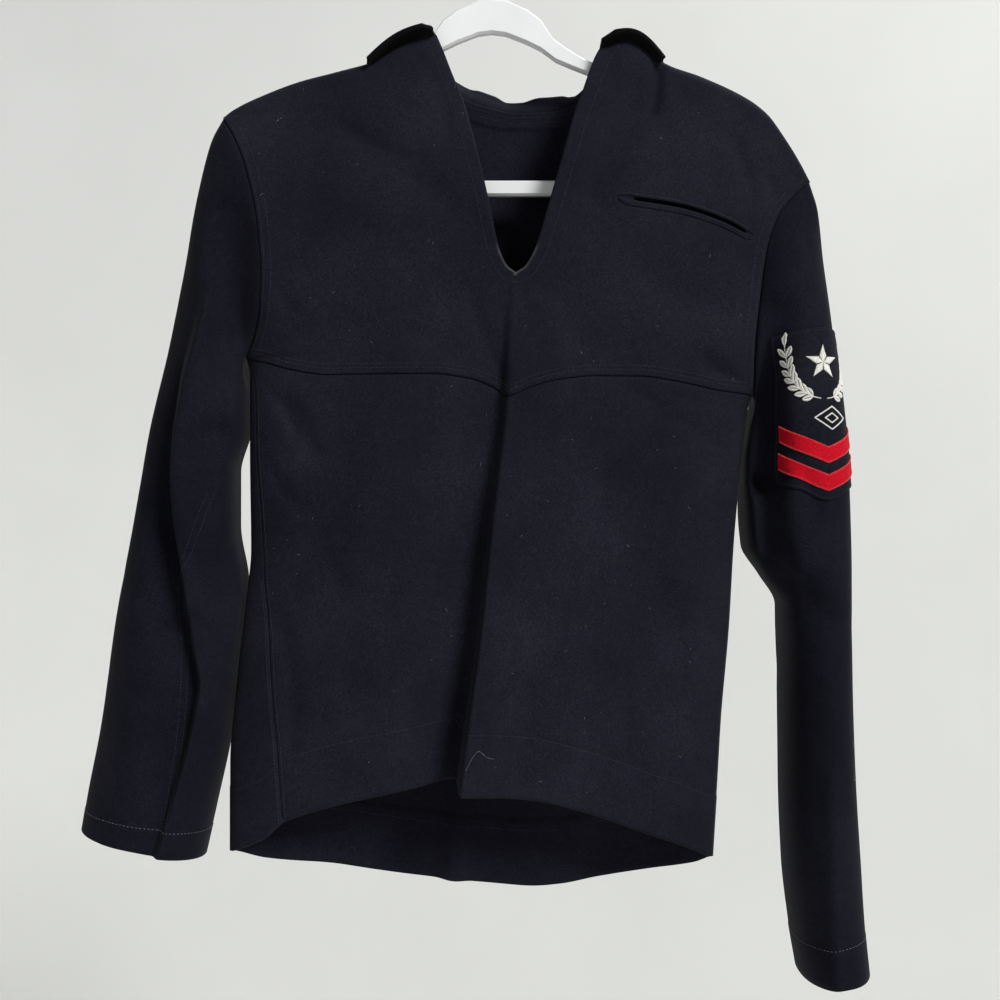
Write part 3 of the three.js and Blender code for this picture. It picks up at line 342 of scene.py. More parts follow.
def yokeEdges(name):
    side = sides[name]
    (tipX, tipZ), (underX, underZ) = side["tip"], side["underarm"]

    def top(u):
        x = mix(tipX, side["neck"], u)
        return x, ridge(x)

    def bottom(u):
        x = mix(underX, creaseAtYoke["x"], u)
        return x, yokeSeam(x)

    def sideEdge(v):
        z = mix(tipZ, underZ, rounded(v))
        return side["holeAt"]["front"](z), z

    def middle(v):
        slit = np.clip(v / slitShare, 0, 1) ** 1.15
        below = mix(slitFoot, creaseAtYoke["z"], np.clip((v - slitShare) / (1 - slitShare), 0, 1))
        slitX, slitZ = slitAt[name]
        alongSlit = v <= slitShare
        return np.where(alongSlit, slitX(slit), creaseX(below)), np.where(alongSlit, slitZ(slit), below)

    return top, bottom, sideEdge, middle


def skirtEdges(name):
    side = sides[name]
    underX, underZ = side["underarm"]
    footX = side["foldFoot"][0] + (seamTurn(side["foldFoot"][1]) if name == "left" else 0)
    footZ = hemAt["front"](footX)

    def top(u):
        x = mix(underX, creaseAtYoke["x"], u)
        return x, yokeSeam(x)

    def bottom(u):
        x = mix(footX, creaseAtHem, u)
        return x, hemAt["front"](x)

    def sideEdge(v):
        z = mix(underZ, footZ, v)
        x = side["foldAt"](z) + (seamTurn(z) if name == "left" else 0)
        return np.where(v == 1, footX, x), z

    def middle(v):
        z = mix(creaseAtYoke["z"], hemAt["front"](creaseAtHem), v)
        return creaseX(z), z

    return top, bottom, sideEdge, middle


def foldPoints(side, v):
    z = mix(side["underarm"][1], side["foldFoot"][1], v)
    return np.stack([side["foldAt"](z), 0 * z, z], axis=-1)


# The back's strip between the left fold and the seam on the front
def stripPoints(across, v):
    left = sides["left"]
    footX = left["foldFoot"][0] + across * seamTurn(left["foldFoot"][1])
    z = mix(left["underarm"][1], hemAt["front"](footX), v)
    x = np.where(v == 1, footX, left["foldAt"](z) + across * seamTurn(z))
    onFold = (across == 0)[..., None]
    return np.where(onFold, foldPoints(left, v + 0 * across), bodyPoints(x, z, "front"))


def armholePoints(name, face, v):
    side = sides[name]
    z = mix(side["tip"][1], side["underarm"][1], rounded(v))
    return bodyPoints(side["holeAt"][face](z), z, face)


turnedEdge = 1.2


# Steps from 0 to 1, with two rows close together where a hem's turned edge ends
def stepsWithHem(count, length):
    start = 1 - hemDepth / length
    plain = np.linspace(0, 1, count + 1)
    plain = plain[np.abs(plain - start) > 0.4 / count]
    edge = turnedEdge / length
    return np.sort(np.concatenate([plain, [start - edge, start + edge]]))


grids = []


# Keeps one grid of a piece: hem is 1 where the cloth is doubled
def addGrid(piece, points, turned, hem=None):
    hem = np.zeros(points.shape[:2]) if hem is None else hem + np.zeros(points.shape[:2])
    across = np.linalg.norm(np.diff(points, axis=1), axis=-1)
    down = np.linalg.norm(np.diff(points, axis=0), axis=-1)
    u = np.pad(np.cumsum(across, axis=1), ((0, 0), (1, 0)))
    v = np.pad(np.cumsum(down, axis=0), ((1, 0), (0, 0)))
    uv = np.stack([u, v], axis=-1)
    grids.append({"piece": piece, "points": points, "turned": turned, "hem": hem, "uv": uv})


evenSteps = np.linspace(0, 1, halfColumns + 1)
columnSteps = 0.35 * rounded(evenSteps) + 0.65 * evenSteps
yokeV = np.linspace(0, 1, yokeRowCount + 1)
skirtLength = 390
skirtV = stepsWithHem(skirtRowCount, skirtLength)
skirtHem = (skirtV > 1 - hemDepth / skirtLength)[:, None]


def addFront():
    for name in ("left", "right"):
        left = name == "left"
        x, z = patch(yokeEdges(name), columnSteps, yokeV, rounded(yokeV))
        points = bodyPoints(x, z, "front")
        points[:, 0] = armholePoints(name, "front", yokeV)
        addGrid("frontYoke", points, left)
        x, z = patch(skirtEdges(name), columnSteps, skirtV, skirtV)
        points = bodyPoints(x, z, "front")
        if left:
            points[:, 0] = stripPoints(np.ones_like(skirtV), skirtV)
        else:
            points[:, 0] = foldPoints(sides[name], skirtV)
        addGrid("front", points, left, skirtHem)
    across, v = np.meshgrid(1 - np.cos(np.pi / 2 * np.linspace(0, 1, stripColumns + 1)), skirtV)
    addGrid("back", stripPoints(across, v), True, skirtHem)


def addBack():
    left, right = sides["left"], sides["right"]
    tops = []
    for side in (left, right):
        x = mix(side["tip"][0], side["neck"], columnSteps)
        tops.append(np.stack([x, ridge(x)], axis=-1))
    at = np.linspace(0, 1, neckColumns + 1)[1:-1]
    top = np.concatenate([tops[0], np.stack([neckline[0](at), neckline[1](at)], axis=-1), tops[1][::-1]])
    share = np.linspace(0, 1, len(top))
    underarms = np.array([left["underarm"], right["underarm"]], float)
    levelX = mix(underarms[0, 0], underarms[1, 0], rounded(share))
    levelZ = mix(underarms[0, 1], underarms[1, 1], share) - 6 * np.sin(np.pi * share)
    weight = rounded(yokeV)[:, None]
    x = (1 - weight) * top[:, 0] + weight * levelX
    z = (1 - weight) * top[:, 1] + weight * levelZ
    for side, near in ((left, 1 - share), (right, share)):
        holeZ = mix(side["tip"][1], side["underarm"][1], weight)
        x = x + near * (side["holeAt"]["back"](holeZ) - mix(side["tip"][0], side["underarm"][0], weight))
    points = bodyPoints(x, z, "back")
    points[:, 0] = armholePoints("left", "back", yokeV)
    points[:, -1] = armholePoints("right", "back", yokeV)
    neck = np.stack([neckline[0](np.linspace(0, 1, 80)), neckline[1](np.linspace(0, 1, 80))], axis=-1)
    away = np.linalg.norm(points[:, :, None, [0, 2]] - neck, axis=-1).min(axis=-1)
    addGrid("back", points, False, (away < neckBand) * 1.0)
    footX = mix(left["foldFoot"][0], right["foldFoot"][0], rounded(share))
    leftFold, rightFold = foldPoints(left, skirtV), foldPoints(right, skirtV)
    x = mix(leftFold[:, :1], rightFold[:, :1], rounded(share))
    z = mix(levelZ, hemAt["back"](footX), skirtV[:, None])
    points = bodyPoints(x, z, "back")
    points[:, 0], points[:, -1] = leftFold, rightFold
    addGrid("back", points, False, skirtHem)


# Sleeves
sectionColumns = "at outX outZ inX inZ front back middleY square"
sectionRows = {
    "left": rows(
        sectionColumns,
        (0, -230, -165, -211, -370, 26, 26, 0, 1), (0.05, -241, -184, -214, -380, 31, 31, 3, 1),
        (0.12, -253, -226, -210, -402, 40, 38, 9, 0.95), (0.2, -264, -285, -210, -430, 46, 42, 12, 0.9),
        (0.3, -279, -359, -220, -470, 49, 45, 13, 0.9), (0.4, -296, -430, -220, -515, 50, 46, 14, 0.9),
        (0.52, -311, -518, -212.5, -565, 50, 46, 14, 0.9),
        (0.64, -325, -595, -218, -620, 49, 46, 14, 0.9),
        (0.78, -337, -680, -226, -690, 48, 46, 14, 0.92),
        (0.92, -349, -743, -240, -758, 47, 46, 13, 0.95), (1, -354, -774, -249, -799, 47, 45, 12, 0.95),
    ),
    "right": rows(
        sectionColumns,
        (0, 272, -220, 224, -402, 20, 24, 0, 1), (0.04, 279, -245, 226, -410, 34, 34, 2, 0.85),
        (0.1, 284, -290, 221, -432, 48, 46, 8, 0.75), (0.18, 291, -346, 217, -462, 55, 52, 12, 0.7),
        (0.27, 299, -406, 217, -498, 58, 55, 14, 0.68),
        (0.36, 305.5, -475, 219.5, -533, 58, 56, 14, 0.7),
        (0.41, 306.5, -511, 235, -558, 58, 56, 14, 0.72), (0.46, 307, -550, 250, -585, 57, 56, 14, 0.75),
        (0.6, 308, -640, 251, -655, 56, 55, 12, 0.82), (0.74, 311, -730, 251, -735, 55, 54, 10, 0.86),
        (0.86, 315, -800, 253, -805, 55, 54, 8, 0.88), (0.95, 318, -855, 259, -862, 55, 54, 6, 0.9),
        (1, 321, -890, 265, -898, 56, 53, 5, 0.9),
    ),
}
sectionAt = {
    name: {column: through(table, "at", column) for column in sectionColumns.split()[1:]}
    for name, table in sectionRows.items()
}
elbowRows = rows(
    "at share valley crest",
    (0, 0.5, 0, 0), (0.16, 0.46, 3, 1), (0.22, 0.4, 9, 4), (0.33, 0.38, 15, 6), (0.46, 0.47, 19, 8),
    (0.56, 0.61, 17, 7), (0.65, 0.73, 14, 5), (0.71, 0.8, 15, 6), (0.79, 0.78, 12, 5),
    (0.9, 0.75, 9, 4), (1, 0.72, 6, 3),
)
elbowShare, elbowValley, elbowCrest = (
    through(elbowRows, "at", name) for name in ("share", "valley", "crest")
)
elbowLook = {"step": 7, "valleySpan": 34, "crestSpan": 24}
sleeveFolds = {
    ("left", "front"): (
        (-222, -250, -226, -350, 0, 9, 12), (-236, -540, -222, -600, 0, 6, 9),
        (-240, -668, -226, -640, 0, -5, 9),
    ),
    ("left", "back"): (
        (-252, -300, -280, -520, 0, 6, 14), (-236, -560, -300, -590, 0, 7, 12),
        (-234, -610, -290, -660, 0, 5, 11),
    ),
    ("right", "front"): (
        (280, -720, 281, -890, 0, -4, 8), (262, -560, 262, -760, 0, 4, 12),
        (245, -560, 290, -600, 0, 3, 12),
    ),
    ("right", "back"): (
        (262, -330, 282, -520, 0, 6, 13), (250, -570, 300, -610, 0, 6, 12),
        (256, -640, 300, -668, 0, 4, 11),
    ),
}
sleeveCreases = {
    ("left", "front"): (
        (-236, -200, -226, -290, 4, 2.4, 7), (-250, -260, -270, -400, 6, -1.8, 10),
        (-300, -470, -272, -520, -5, 2.2, 8), (-318, -560, -280, -600, 6, 2.4, 9),
        (-322, -640, -272, -660, -5, 2, 8), (-250, -590, -226, -625, 3, 2.6, 5),
        (-300, -690, -296, -770, 4, -1.8, 12), (-330, -700, -326, -770, 2, 1.6, 9),
        (-240, -700, -236, -770, 2, 2, 7), (-236, -470, -226, -540, 3, -2, 6),
        (-224, -250, -232, -430, 5, 7, 11), (-236, -440, -222, -570, -5, 9, 13),
        (-252, -600, -240, -700, 5, 4, 9), (-286, -300, -300, -440, 5, -1.6, 8),
        (-262, -430, -250, -520, -4, -2, 7), (-270, -240, -262, -300, 4, 1.8, 6),
    ),
    ("left", "back"): (
        (-240, -230, -262, -330, 5, 2.2, 9), (-310, -520, -250, -548, 5, 2.4, 8),
        (-322, -600, -262, -622, -5, 2.2, 8), (-330, -660, -270, -690, 5, 2, 9),
        (-290, -700, -296, -780, 3, -1.8, 12),
    ),
    ("right", "front"): (
        (284, -250, 276, -330, 4, 2, 6), (238, -440, 268, -500, 5, 2.4, 8),
        (296, -510, 262, -560, -5, 1.8, 8), (300, -600, 268, -640, 5, 1.6, 9),
        (272, -680, 276, -790, 4, 1.5, 9), (300, -760, 304, -860, 2, 1.4, 8),
        (262, -780, 266, -860, 2, 1.8, 6), (250, -258, 238, -330, -2, 16, 10),
        (236, -330, 229, -470, -3, 30, 14), (229, -480, 240, -560, -2, 20, 11),
    ),
    ("right", "back"): (
        (280, -260, 262, -350, 5, 2.2, 8), (300, -480, 256, -520, 5, 2.4, 9),
        (304, -560, 258, -590, -4, 2, 8), (300, -700, 296, -800, 3, -1.6, 11),
    ),
}


def plainSleeve(name, at, turn):
    section = sectionAt[name]
    square = section["square"](at)
    across = (1 - power(np.cos(turn), square)) / 2
    sine = np.where(np.abs(np.sin(turn)) < 1e-9, 0, np.sin(turn))
    deep = power(sine, square) * np.where(sine > 0, section["front"](at), section["back"](at))
    return np.stack([
        mix(section["outX"](at), section["inX"](at), across),
        section["middleY"](at) - deep,
        mix(section["outZ"](at), section["inZ"](at), across),
    ], axis=-1)


# Where each column lies round the sleeve. On the left, two columns follow the elbow's sharp fold.
def columnTurn(name, at, t):
    plain = np.where(t == 1, 0, 2 * np.pi * t)
    if name == "right":
        return plain
    crest = np.arccos(power(1 - 2 * elbowShare(at), 1 / sectionAt[name]["square"](at)))
    foot = crest - 0.06 - 0.1 * smooth(at, 0.1, 0.3)
    footT, crestT = 6 / 28, 7 / 28
    outer = foot * t / footT
    step = mix(foot, crest, (t - footT) / (crestT - footT))
    inner = mix(crest, np.pi, (t - crestT) / (0.5 - crestT))
    return np.where(t >= 0.5, plain, np.where(t <= footT, outer, np.where(t <= crestT, step, inner)))


def sleevePoints(name, at, t):
    at, t = np.broadcast_arrays(np.asarray(at, float), np.asarray(t, float))
    front = t <= 0.5
    hole = np.where(
        front[..., None],
        armholePoints(name, "front", np.minimum(2 * t, 1)),
        armholePoints(name, "back", np.clip(2 - 2 * t, 0, 1)),
    )
    turn = columnTurn(name, at, t)
    points = plainSleeve(name, at, turn)
    x, z = points[..., 0], points[..., 2]
    deep = np.abs(np.sin(turn)) ** 0.8 * smooth(at, 0, 0.08)
    for face, sign, mask in (("front", 1, front), ("back", -1, ~front)):
        folds = softDepth(x, z, sleeveFolds[name, face]) + softDepth(x, z, sleeveCreases[name, face])
        points[..., 1] += np.where(mask, sign * folds * deep, 0)
    if name == "left":
        section = sectionAt[name]
        foldX = mix(section["outX"](at), section["inX"](at), elbowShare(at))
        sharp = sharpDepth(x - foldX, elbowValley(at), elbowCrest(at), **elbowLook)
        points[..., 1] += np.where(front, sharp * deep, 0)
    near = (1 - smooth(at, 0, 0.14)) ** 1.5
    turned = hole - plainSleeve(name, 0, 2 * np.pi * t)
    return np.where((at == 0)[..., None], hole, points + turned * near[..., None])


sleeveLength = 640
cuffDepth = 29
sleeveRowCount = 120


def addSleeves():
    start = 1 - cuffDepth / sleeveLength
    at = np.linspace(0, 1, sleeveRowCount + 1) ** 1.1
    at = at[np.abs(at - start) > 0.003]
    at = np.sort(np.concatenate([at, [start - 1 / sleeveLength, start + 1 / sleeveLength]]))
    t = np.linspace(0, 1, 2 * yokeRowCount + 1)
    for name in ("left", "right"):
        hem = (at > start)[:, None]
        points = sleevePoints(name, at[:, None], t[None, :])
        addGrid(f"sleeve{name.title()}", points, name == "left", hem)


# The collar
stationColumns = "at seamX seamY seamZ rollX rollY rollZ edgeX edgeY edgeZ bulge"
stationRows = rows(
    stationColumns,
    (0, -49, -9, -96, -60, -9, -95, -104, -8, -119, 4),
    (0.03, -50, -22, -96, -59, -24, -93.5, -104, -21, -120, 5),
    (0.06, -54, -3, -87, -59.5, -3, -88.5, -106, -2, -117, 4),
    (0.1, -52, 10, -93, -57, 13, -91, -111, 16, -125, 3),
    (0.17, -42, 20, -116, -46, 24, -104, -119, 30, -165, 0),
    (0.26, -33, 24, -130, -37, 30, -121, -138, 30, -262, 0),
    (0.36, -18, 26, -141, -20, 34, -129, -166, 30, -382, 0),
    (0.5, 18, 27, -150, 18, 36, -141, 18, 30, -388, 0),
    (0.64, 60, 26, -147, 62, 34, -136, 202, 30, -382, 0),
    (0.74, 79, 24, -138, 83, 30, -123, 176, 30, -262, 0),
    (0.83, 89, 20, -122, 94, 24, -106, 157, 30, -165, 0),
    (0.9, 94, 13, -106, 101, 15, -97, 149, 18, -128, 6),
    (0.94, 95, 1, -99.3, 104, 0, -93.8, 146, 0, -114, 10.5),
    (0.97, 94, -19, -104, 105, -23, -98, 145, -20, -119, 9),
    (1, 95, -10, -105, 106, -9, -99, 144, -8, -118, 8),
)
stationAt = {name: through(stationRows, "at", name) for name in stationColumns.split()[1:]}
collarClear = 4.4
rollShare = 0.18
collarTuck = (2.5, 4)  # how far the seam edge lies in front of the solid's, and below it
rollRise = through(
    rows(
        "at rise", (0.3, 0), (0.36, -1), (0.4, 1.5), (0.445, 2.2), (0.48, -0.6), (0.53, -0.4),
        (0.57, 2.2), (0.605, 1.2), (0.64, 0), (0.67, -4), (0.7, -7), (0.74, -7.5), (0.8, 0),
    ),
    "at", "rise",
)


def collarPoints(at, across):
    at, across = np.broadcast_arrays(at, across)
    fallen = np.clip((across - rollShare) / (1 - rollShare), 0, 1)

    def pick(axis):
        seam, roll, edge = (stationAt[part + axis](at) for part in ("seam", "roll", "edge"))
        rising = mix(seam, roll, np.sin(np.pi / 2 * np.clip(across / rollShare, 0, 1)))
        return np.where(across <= rollShare, rising, mix(roll, edge, fallen))

    x, y, z = pick("X"), pick("Y"), pick("Z")
    z = z + stationAt["bulge"](at) * np.sin(np.pi * fallen)
    nearRoll = np.clip(1 - np.abs(across - rollShare) / rollShare, 0, 1)
    tucked = np.clip(1 - across / rollShare, 0, 1) * smooth(at, 0.17, 0.3) * (1 - smooth(at, 0.7, 0.83))
    z = z + rollRise(at) * nearRoll - collarTuck[1] * tucked
    y = y - collarTuck[0] * tucked
    # The ends lie before the front, and the flap lies behind the back
    before = 1 - smooth(at, 0.03, 0.05) * (1 - smooth(at, 0.95, 0.97))
    y = mix(y, np.minimum(y, bodyY(x, z, "front", fine=False) - 1.6), before)
    out = smooth(across, rollShare, 0.4)
    behind = smooth(at, 0.04, 0.12) * (1 - smooth(at, 0.88, 0.96))
    floor = bodyY(x, z - collarClear, "back", fine=False) + 0.8 * collarClear
    return np.stack([x, mix(y, np.maximum(floor, mix(y, floor, out)), behind), z], axis=-1)


def addCollar():
    corners = stationRows["at"]
    stretches = [np.linspace(a, b, 14)[:-1] for a, b in zip(corners, corners[1:])]
    at = np.concatenate(stretches + [corners[-1:]])
    across = np.concatenate([np.linspace(0, rollShare, 10)[:-1], np.linspace(rollShare, 1, 54)])
    addGrid("collar", collarPoints(at[None, :], across[:, None]), False)


addFront()
addBack()
addSleeves()
print("cloth surfaces worked out")


# Joins the grids at the seams: the points, the quads and the piece that each quad is part of.
# Points less than about the reach apart become one. The shift keeps round sizes off the limits.
weldReach, weldShift = 0.06, 0.37


def weld(parts):
    points = np.concatenate([part["points"].reshape(-1, 3) for part in parts])
    keys = np.round(points / weldReach + weldShift).astype(np.int64)
    _, first, index = np.unique(keys, axis=0, return_index=True, return_inverse=True)
    index = index.reshape(-1)
    quads, names, start = [], [], 0
    for part in parts:
        count, columns = part["points"].shape[:2]
        ids = index[start : start + count * columns].reshape(count, columns)
        part["ids"] = ids
        corners = [ids[:-1, :-1], ids[:-1, 1:], ids[1:, 1:], ids[1:, :-1]]
        quad = np.stack(corners[::-1] if part["turned"] else corners, axis=-1).reshape(-1, 4)
        quads.append(quad)
        names += [part["piece"]] * len(quad)
        start += count * columns
    return points[first], np.concatenate(quads), np.array(names)


def quadNormals(points, quads):
    a, b, c, d = (points[quads[:, i]] for i in range(4))
    normal = np.cross(c - a, d - b)
    return normal / np.maximum(np.linalg.norm(normal, axis=1, keepdims=True), 1e-9)


def pointNormals(points, quads):
    normals = np.zeros_like(points)
    faceNormals = quadNormals(points, quads)
    for i in range(4):
        np.add.at(normals, quads[:, i], faceNormals)
    return normals / np.maximum(np.linalg.norm(normals, axis=1, keepdims=True), 1e-9)


def edgeKeys(quads, span):
    pairs = np.stack([quads, np.roll(quads, -1, axis=1)], axis=-1).reshape(-1, 2)
    return pairs, pairs.min(axis=1) * span + pairs.max(axis=1)


# The rims of a piece: its edges with no neighbour, and those sewn to another piece
def findRims(quads, allQuads, span):
    pairs, keys = edgeKeys(quads, span)
    real = pairs[:, 0] != pairs[:, 1]
    ownKeys, ownCounts = np.unique(keys[real], return_counts=True)
    edges = np.isin(keys, ownKeys[ownCounts == 1]) & real
    _, everyKey = edgeKeys(allQuads, span)
    allKeys, allCounts = np.unique(everyKey, return_counts=True)
    free = np.isin(keys, allKeys[allCounts == 1])
    return pairs[edges], free[edges], np.repeat(np.arange(len(quads)), 4)[edges]


seamGap = 0.3


# How far the rims are pulled back at a seam, and the way out of a free rim, at each point
def rimMoves(points, quads, rims, free, owner):
    away = np.cross(quadNormals(points, quads)[owner], points[rims[:, 1]] - points[rims[:, 0]])
    away /= np.maximum(np.linalg.norm(away, axis=1, keepdims=True), 1e-9)
    pull, rimOut = np.zeros_like(points), np.zeros_like(points)
    for end in range(2):
        np.add.at(pull, rims[~free, end], away[~free] * seamGap / 4)
        np.add.at(rimOut, rims[free, end], -away[free] / 2)
    return pull, rimOut


def gridValues(piece, count):
    hem, uv = np.zeros(count), np.zeros((count, 2))
    for part in grids:
        if part["piece"] == piece:
            hem[part["ids"].reshape(-1)] = part["hem"].reshape(-1)
            uv[part["ids"].reshape(-1)] = part["uv"].reshape(-1, 2)
    return hem, uv


def numbered(ids, count, start=0):
    numbers = np.full(count, -1)
    numbers[ids] = np.arange(len(ids)) + start
    return numbers


# The faces of the outside, the inside and the rounded rim between them
def wallFaces(quads, rims, local, rimLocal, layer):
    faces = [[local[i] for i in dict.fromkeys(quad)] for quad in quads.tolist()]
    faces = [face for face in faces if len(face) > 2]
    inside = [[i + layer for i in reversed(face)] for face in faces]
    edges = []
    for a, b in rims.tolist():
        edges.append([local[b], local[a], rimLocal[a], rimLocal[b]])
        edges.append([rimLocal[b], rimLocal[a], local[a] + layer, local[b] + layer])
    return faces + inside + edges


def makeWall(name, piece, joined, outward, inward, hemExtra=0.0, bulge=0.7):
    points, allQuads, names = joined
    quads = allQuads[names == piece]
    normals = pointNormals(points, allQuads)
    rims, free, owner = findRims(quads, allQuads, len(points))
    pull, rimOut = rimMoves(points, quads, rims, free, owner)
    hem, uv = gridValues(piece, len(points))
    base = points + pull
    outer = base + normals * (outward + hemEmboss * hem[:, None])
    inner = base - normals * (inward + hemExtra * hem[:, None])
    middle = (outer + inner) / 2 + rimOut * bulge * (outward + inward) / 2
    used, rimIds = np.unique(quads), np.unique(rims)
    local = numbered(used, len(points))
    rimLocal = numbered(rimIds, len(points), 2 * len(used))
    made = makeMesh(
        name,
        np.concatenate([outer[used], inner[used], middle[rimIds]]),
        wallFaces(quads, rims, local, rimLocal, len(used)),
    )
    setUv(made, np.concatenate([uv[used], uv[used], uv[rimIds]]))
    return made


def makeMesh(name, points, faces):
    mesh = bpy.data.meshes.new(name)
    mesh.from_pydata((np.asarray(points) * mm).tolist(), [], [[int(i) for i in face] for face in faces])
    mesh.validate()
    mesh.shade_smooth()
    made = bpy.data.objects.new(name, mesh)
    bpy.context.scene.collection.objects.link(made)
    return made


# The cloth's own directions, in millimetres, for its weave
def setUv(made, uv):
    layer = made.data.uv_layers.new(name="cloth")
    index = np.empty(len(made.data.loops), np.int32)
    made.data.loops.foreach_get("vertex_index", index)
    layer.data.foreach_set("uv", uv[index].astype(np.float32).reshape(-1))


clothThick, hemThick, collarThick = 1.8, 1.5, 2.4
joined = weld(grids)
pieces = {}
for name, piece, outward in (
    ("clothFront", "front", 0),
    ("clothFrontYoke", "frontYoke", 0.9),
    ("clothBack", "back", 0),
    ("clothSleeveLeft", "sleeveLeft", 0),
    ("clothSleeveRight", "sleeveRight", 0),
):
    pieces[piece] = makeWall(name, piece, joined, outward, clothThick, hemExtra=hemThick)
grids.clear()
addCollar()
pieces["collar"] = makeWall("clothCollar", "collar", weld(grids), collarThick, 0)
print("cloth pieces made")


def pointsOf(made):
    points = np.empty(len(made.data.vertices) * 3, np.float32)
    made.data.vertices.foreach_get("co", points)
    return points.reshape(-1, 3) / mm


# Where each dressed piece lies, for what is sewn or laid on it
def surfaceOf(made):
    faces = [tuple(face.vertices) for face in made.data.polygons]
    return BVHTree.FromPolygons(pointsOf(made).tolist(), faces)


surfaces = {piece: surfaceOf(made) for piece, made in pieces.items()}
fromFront, fromBehind = np.array([0.0, -1, 0]), np.array([0.0, 1, 0])
seenAway = 300  # how far off the places are looked at from


# The places of a surface nearest to some points, or first met from one side of them, and the ways out
def placeOn(surface, points, seenFrom=None):
    hits, outs = np.full((len(points), 3), np.nan), np.zeros((len(points), 3))
    for i, point in enumerate(points):
        if seenFrom is None:
            hit, out, _, _ = surface.find_nearest(Vector(point))
        else:
            hit, out, _, _ = surface.ray_cast(Vector(point + seenAway * seenFrom), Vector(-seenFrom))
        if hit is not None:
            hits[i], outs[i] = hit, out
    return hits, outs


# Threads: each is a tapered, bowed strand. They are gathered in batches and made at the end
threadBatches = {}
threadRings = ((0, 0, -0.4), (0.14, 0.75, 0.3), (0.5, 1, 0.6), (0.86, 0.75, 0.3), (1, 0, -0.4))
threadSides = 5
rng = np.random.default_rng(7)


def addThreads(batch, starts, ends, outs, radius):
    radii = np.full(len(starts), float(radius))
    threadBatches.setdefault(batch, []).append((starts, ends, outs, radii))


def makeThreads(name, batch):
    starts, ends, outs, radii = (np.concatenate(column) for column in zip(*threadBatches[batch]))
    along = ends - starts
    across = np.cross(along, outs)
    across /= np.maximum(np.linalg.norm(across, axis=1, keepdims=True), 1e-9)
    radius = radii[:, None]
    parts = []
    for place, share, rise in threadRings:
        centre = starts + along * place + outs * radius * rise
        if share == 0:
            parts.append(centre[:, None])
            continue
        turns = 2 * np.pi * np.arange(threadSides) / threadSides
        ring = [centre + radius * share * (across * math.cos(a) + outs * math.sin(a)) for a in turns]
        parts.append(np.stack(ring, axis=1))
    points = np.concatenate(parts, axis=1)
    count, last = threadSides, points.shape[1] - 1
    faces = []
    for i in range(count):
        j = (i + 1) % count
        faces += [(0, 1 + j, 1 + i), (last, 1 + 2 * count + i, 1 + 2 * count + j)]
        for ring in range(2):
            low, high = 1 + ring * count, 1 + (ring + 1) * count
            faces.append((low + i, low + j, high + j, high + i))
    every = []
    for start in range(len(points)):
        every += [tuple(corner + start * (last + 1) for corner in face) for face in faces]
    return makeMesh(name, points.reshape(-1, 3), every)


def lengthAlong(line):
    return np.concatenate([[0], np.cumsum(np.linalg.norm(np.diff(line, axis=0), axis=1))])


# A row of stitches along a line, laid on a piece
def sew(batch, piece, line, seenFrom=None, pitch=2.6, length=1.9, radius=0.24):
    run = lengthAlong(line)
    at = np.arange(0, run[-1] - length, pitch)
    at = at + rng.normal(0, 0.07, len(at))
    ends = [
        np.stack([np.interp(at + further, run, line[:, i]) for i in range(3)], axis=-1)
        for further in (0, length)
    ]
    starts, outs = placeOn(surfaces[piece], ends[0], seenFrom)
    ends, _ = placeOn(surfaces[piece], ends[1], seenFrom)
    good = np.linalg.norm(ends - starts, axis=1) < 2 * length
    addThreads(batch, starts[good], ends[good], outs[good], radius)


# A line beside another in the XZ plane, on the right hand of someone who walks along it
def beside(x, z, offset):
    runX, runZ = np.gradient(x), np.gradient(z)
    length = np.maximum(np.hypot(runX, runZ), 1e-6)
    return x + offset * runZ / length, z - offset * runX / length


sewing = {
    "yokeRows": (5, 8.6),  # above the yoke's lower edge
    "armholeRows": (3, 9),
    "sideRow": 3,
    "slitRow": (8.6, 12),  # from the neck slit, at its foot and at the top of its right side
    "neckRows": (4, 9),
    "collarRow": 6,
    "insideStep": np.array([0, 4, 0]),  # from the back's outside to where its inside is looked for
}
felledSeam = rows("at share", (0.38, 0.78), (0.5, 0.6), (0.55, 0.52), (0.66, 0.63), (0.95, 0.71))


def sewYoke():
    x = np.linspace(-203, 216, 500)
    for row in sewing["yokeRows"]:
        sew("frontYoke", "frontYoke", bodyPoints(x, yokeSeam(x) + row, "front"), fromFront)
    at = np.linspace(0.03, 1, 240)
    low, high = sewing["slitRow"]
    leftX, leftZ = beside(slitAt["left"][0](at), slitAt["left"][1](at), low)
    rightX, rightZ = beside(slitAt["right"][0](at), slitAt["right"][1](at), -mix(high, low, at))
    x, z = np.concatenate([leftX, rightX[::-1]]), np.concatenate([leftZ, rightZ[::-1]])
    sew("frontYoke", "frontYoke", bodyPoints(x, z, "front"), fromFront)


def sewArmholes():
    for name, inwards in (("left", 1), ("right", -1)):
        side = sides[name]
        z = np.linspace(side["tip"][1] - 12, side["underarm"][1] + 4, 300)
        for row in sewing["armholeRows"]:
            frontX, backX = (side["holeAt"][face](z) + inwards * row for face in ("front", "back"))
            sew("frontYoke", "frontYoke", bodyPoints(frontX, z, "front"), fromFront)
            sew("back", "back", bodyPoints(backX, z, "back"), fromBehind)


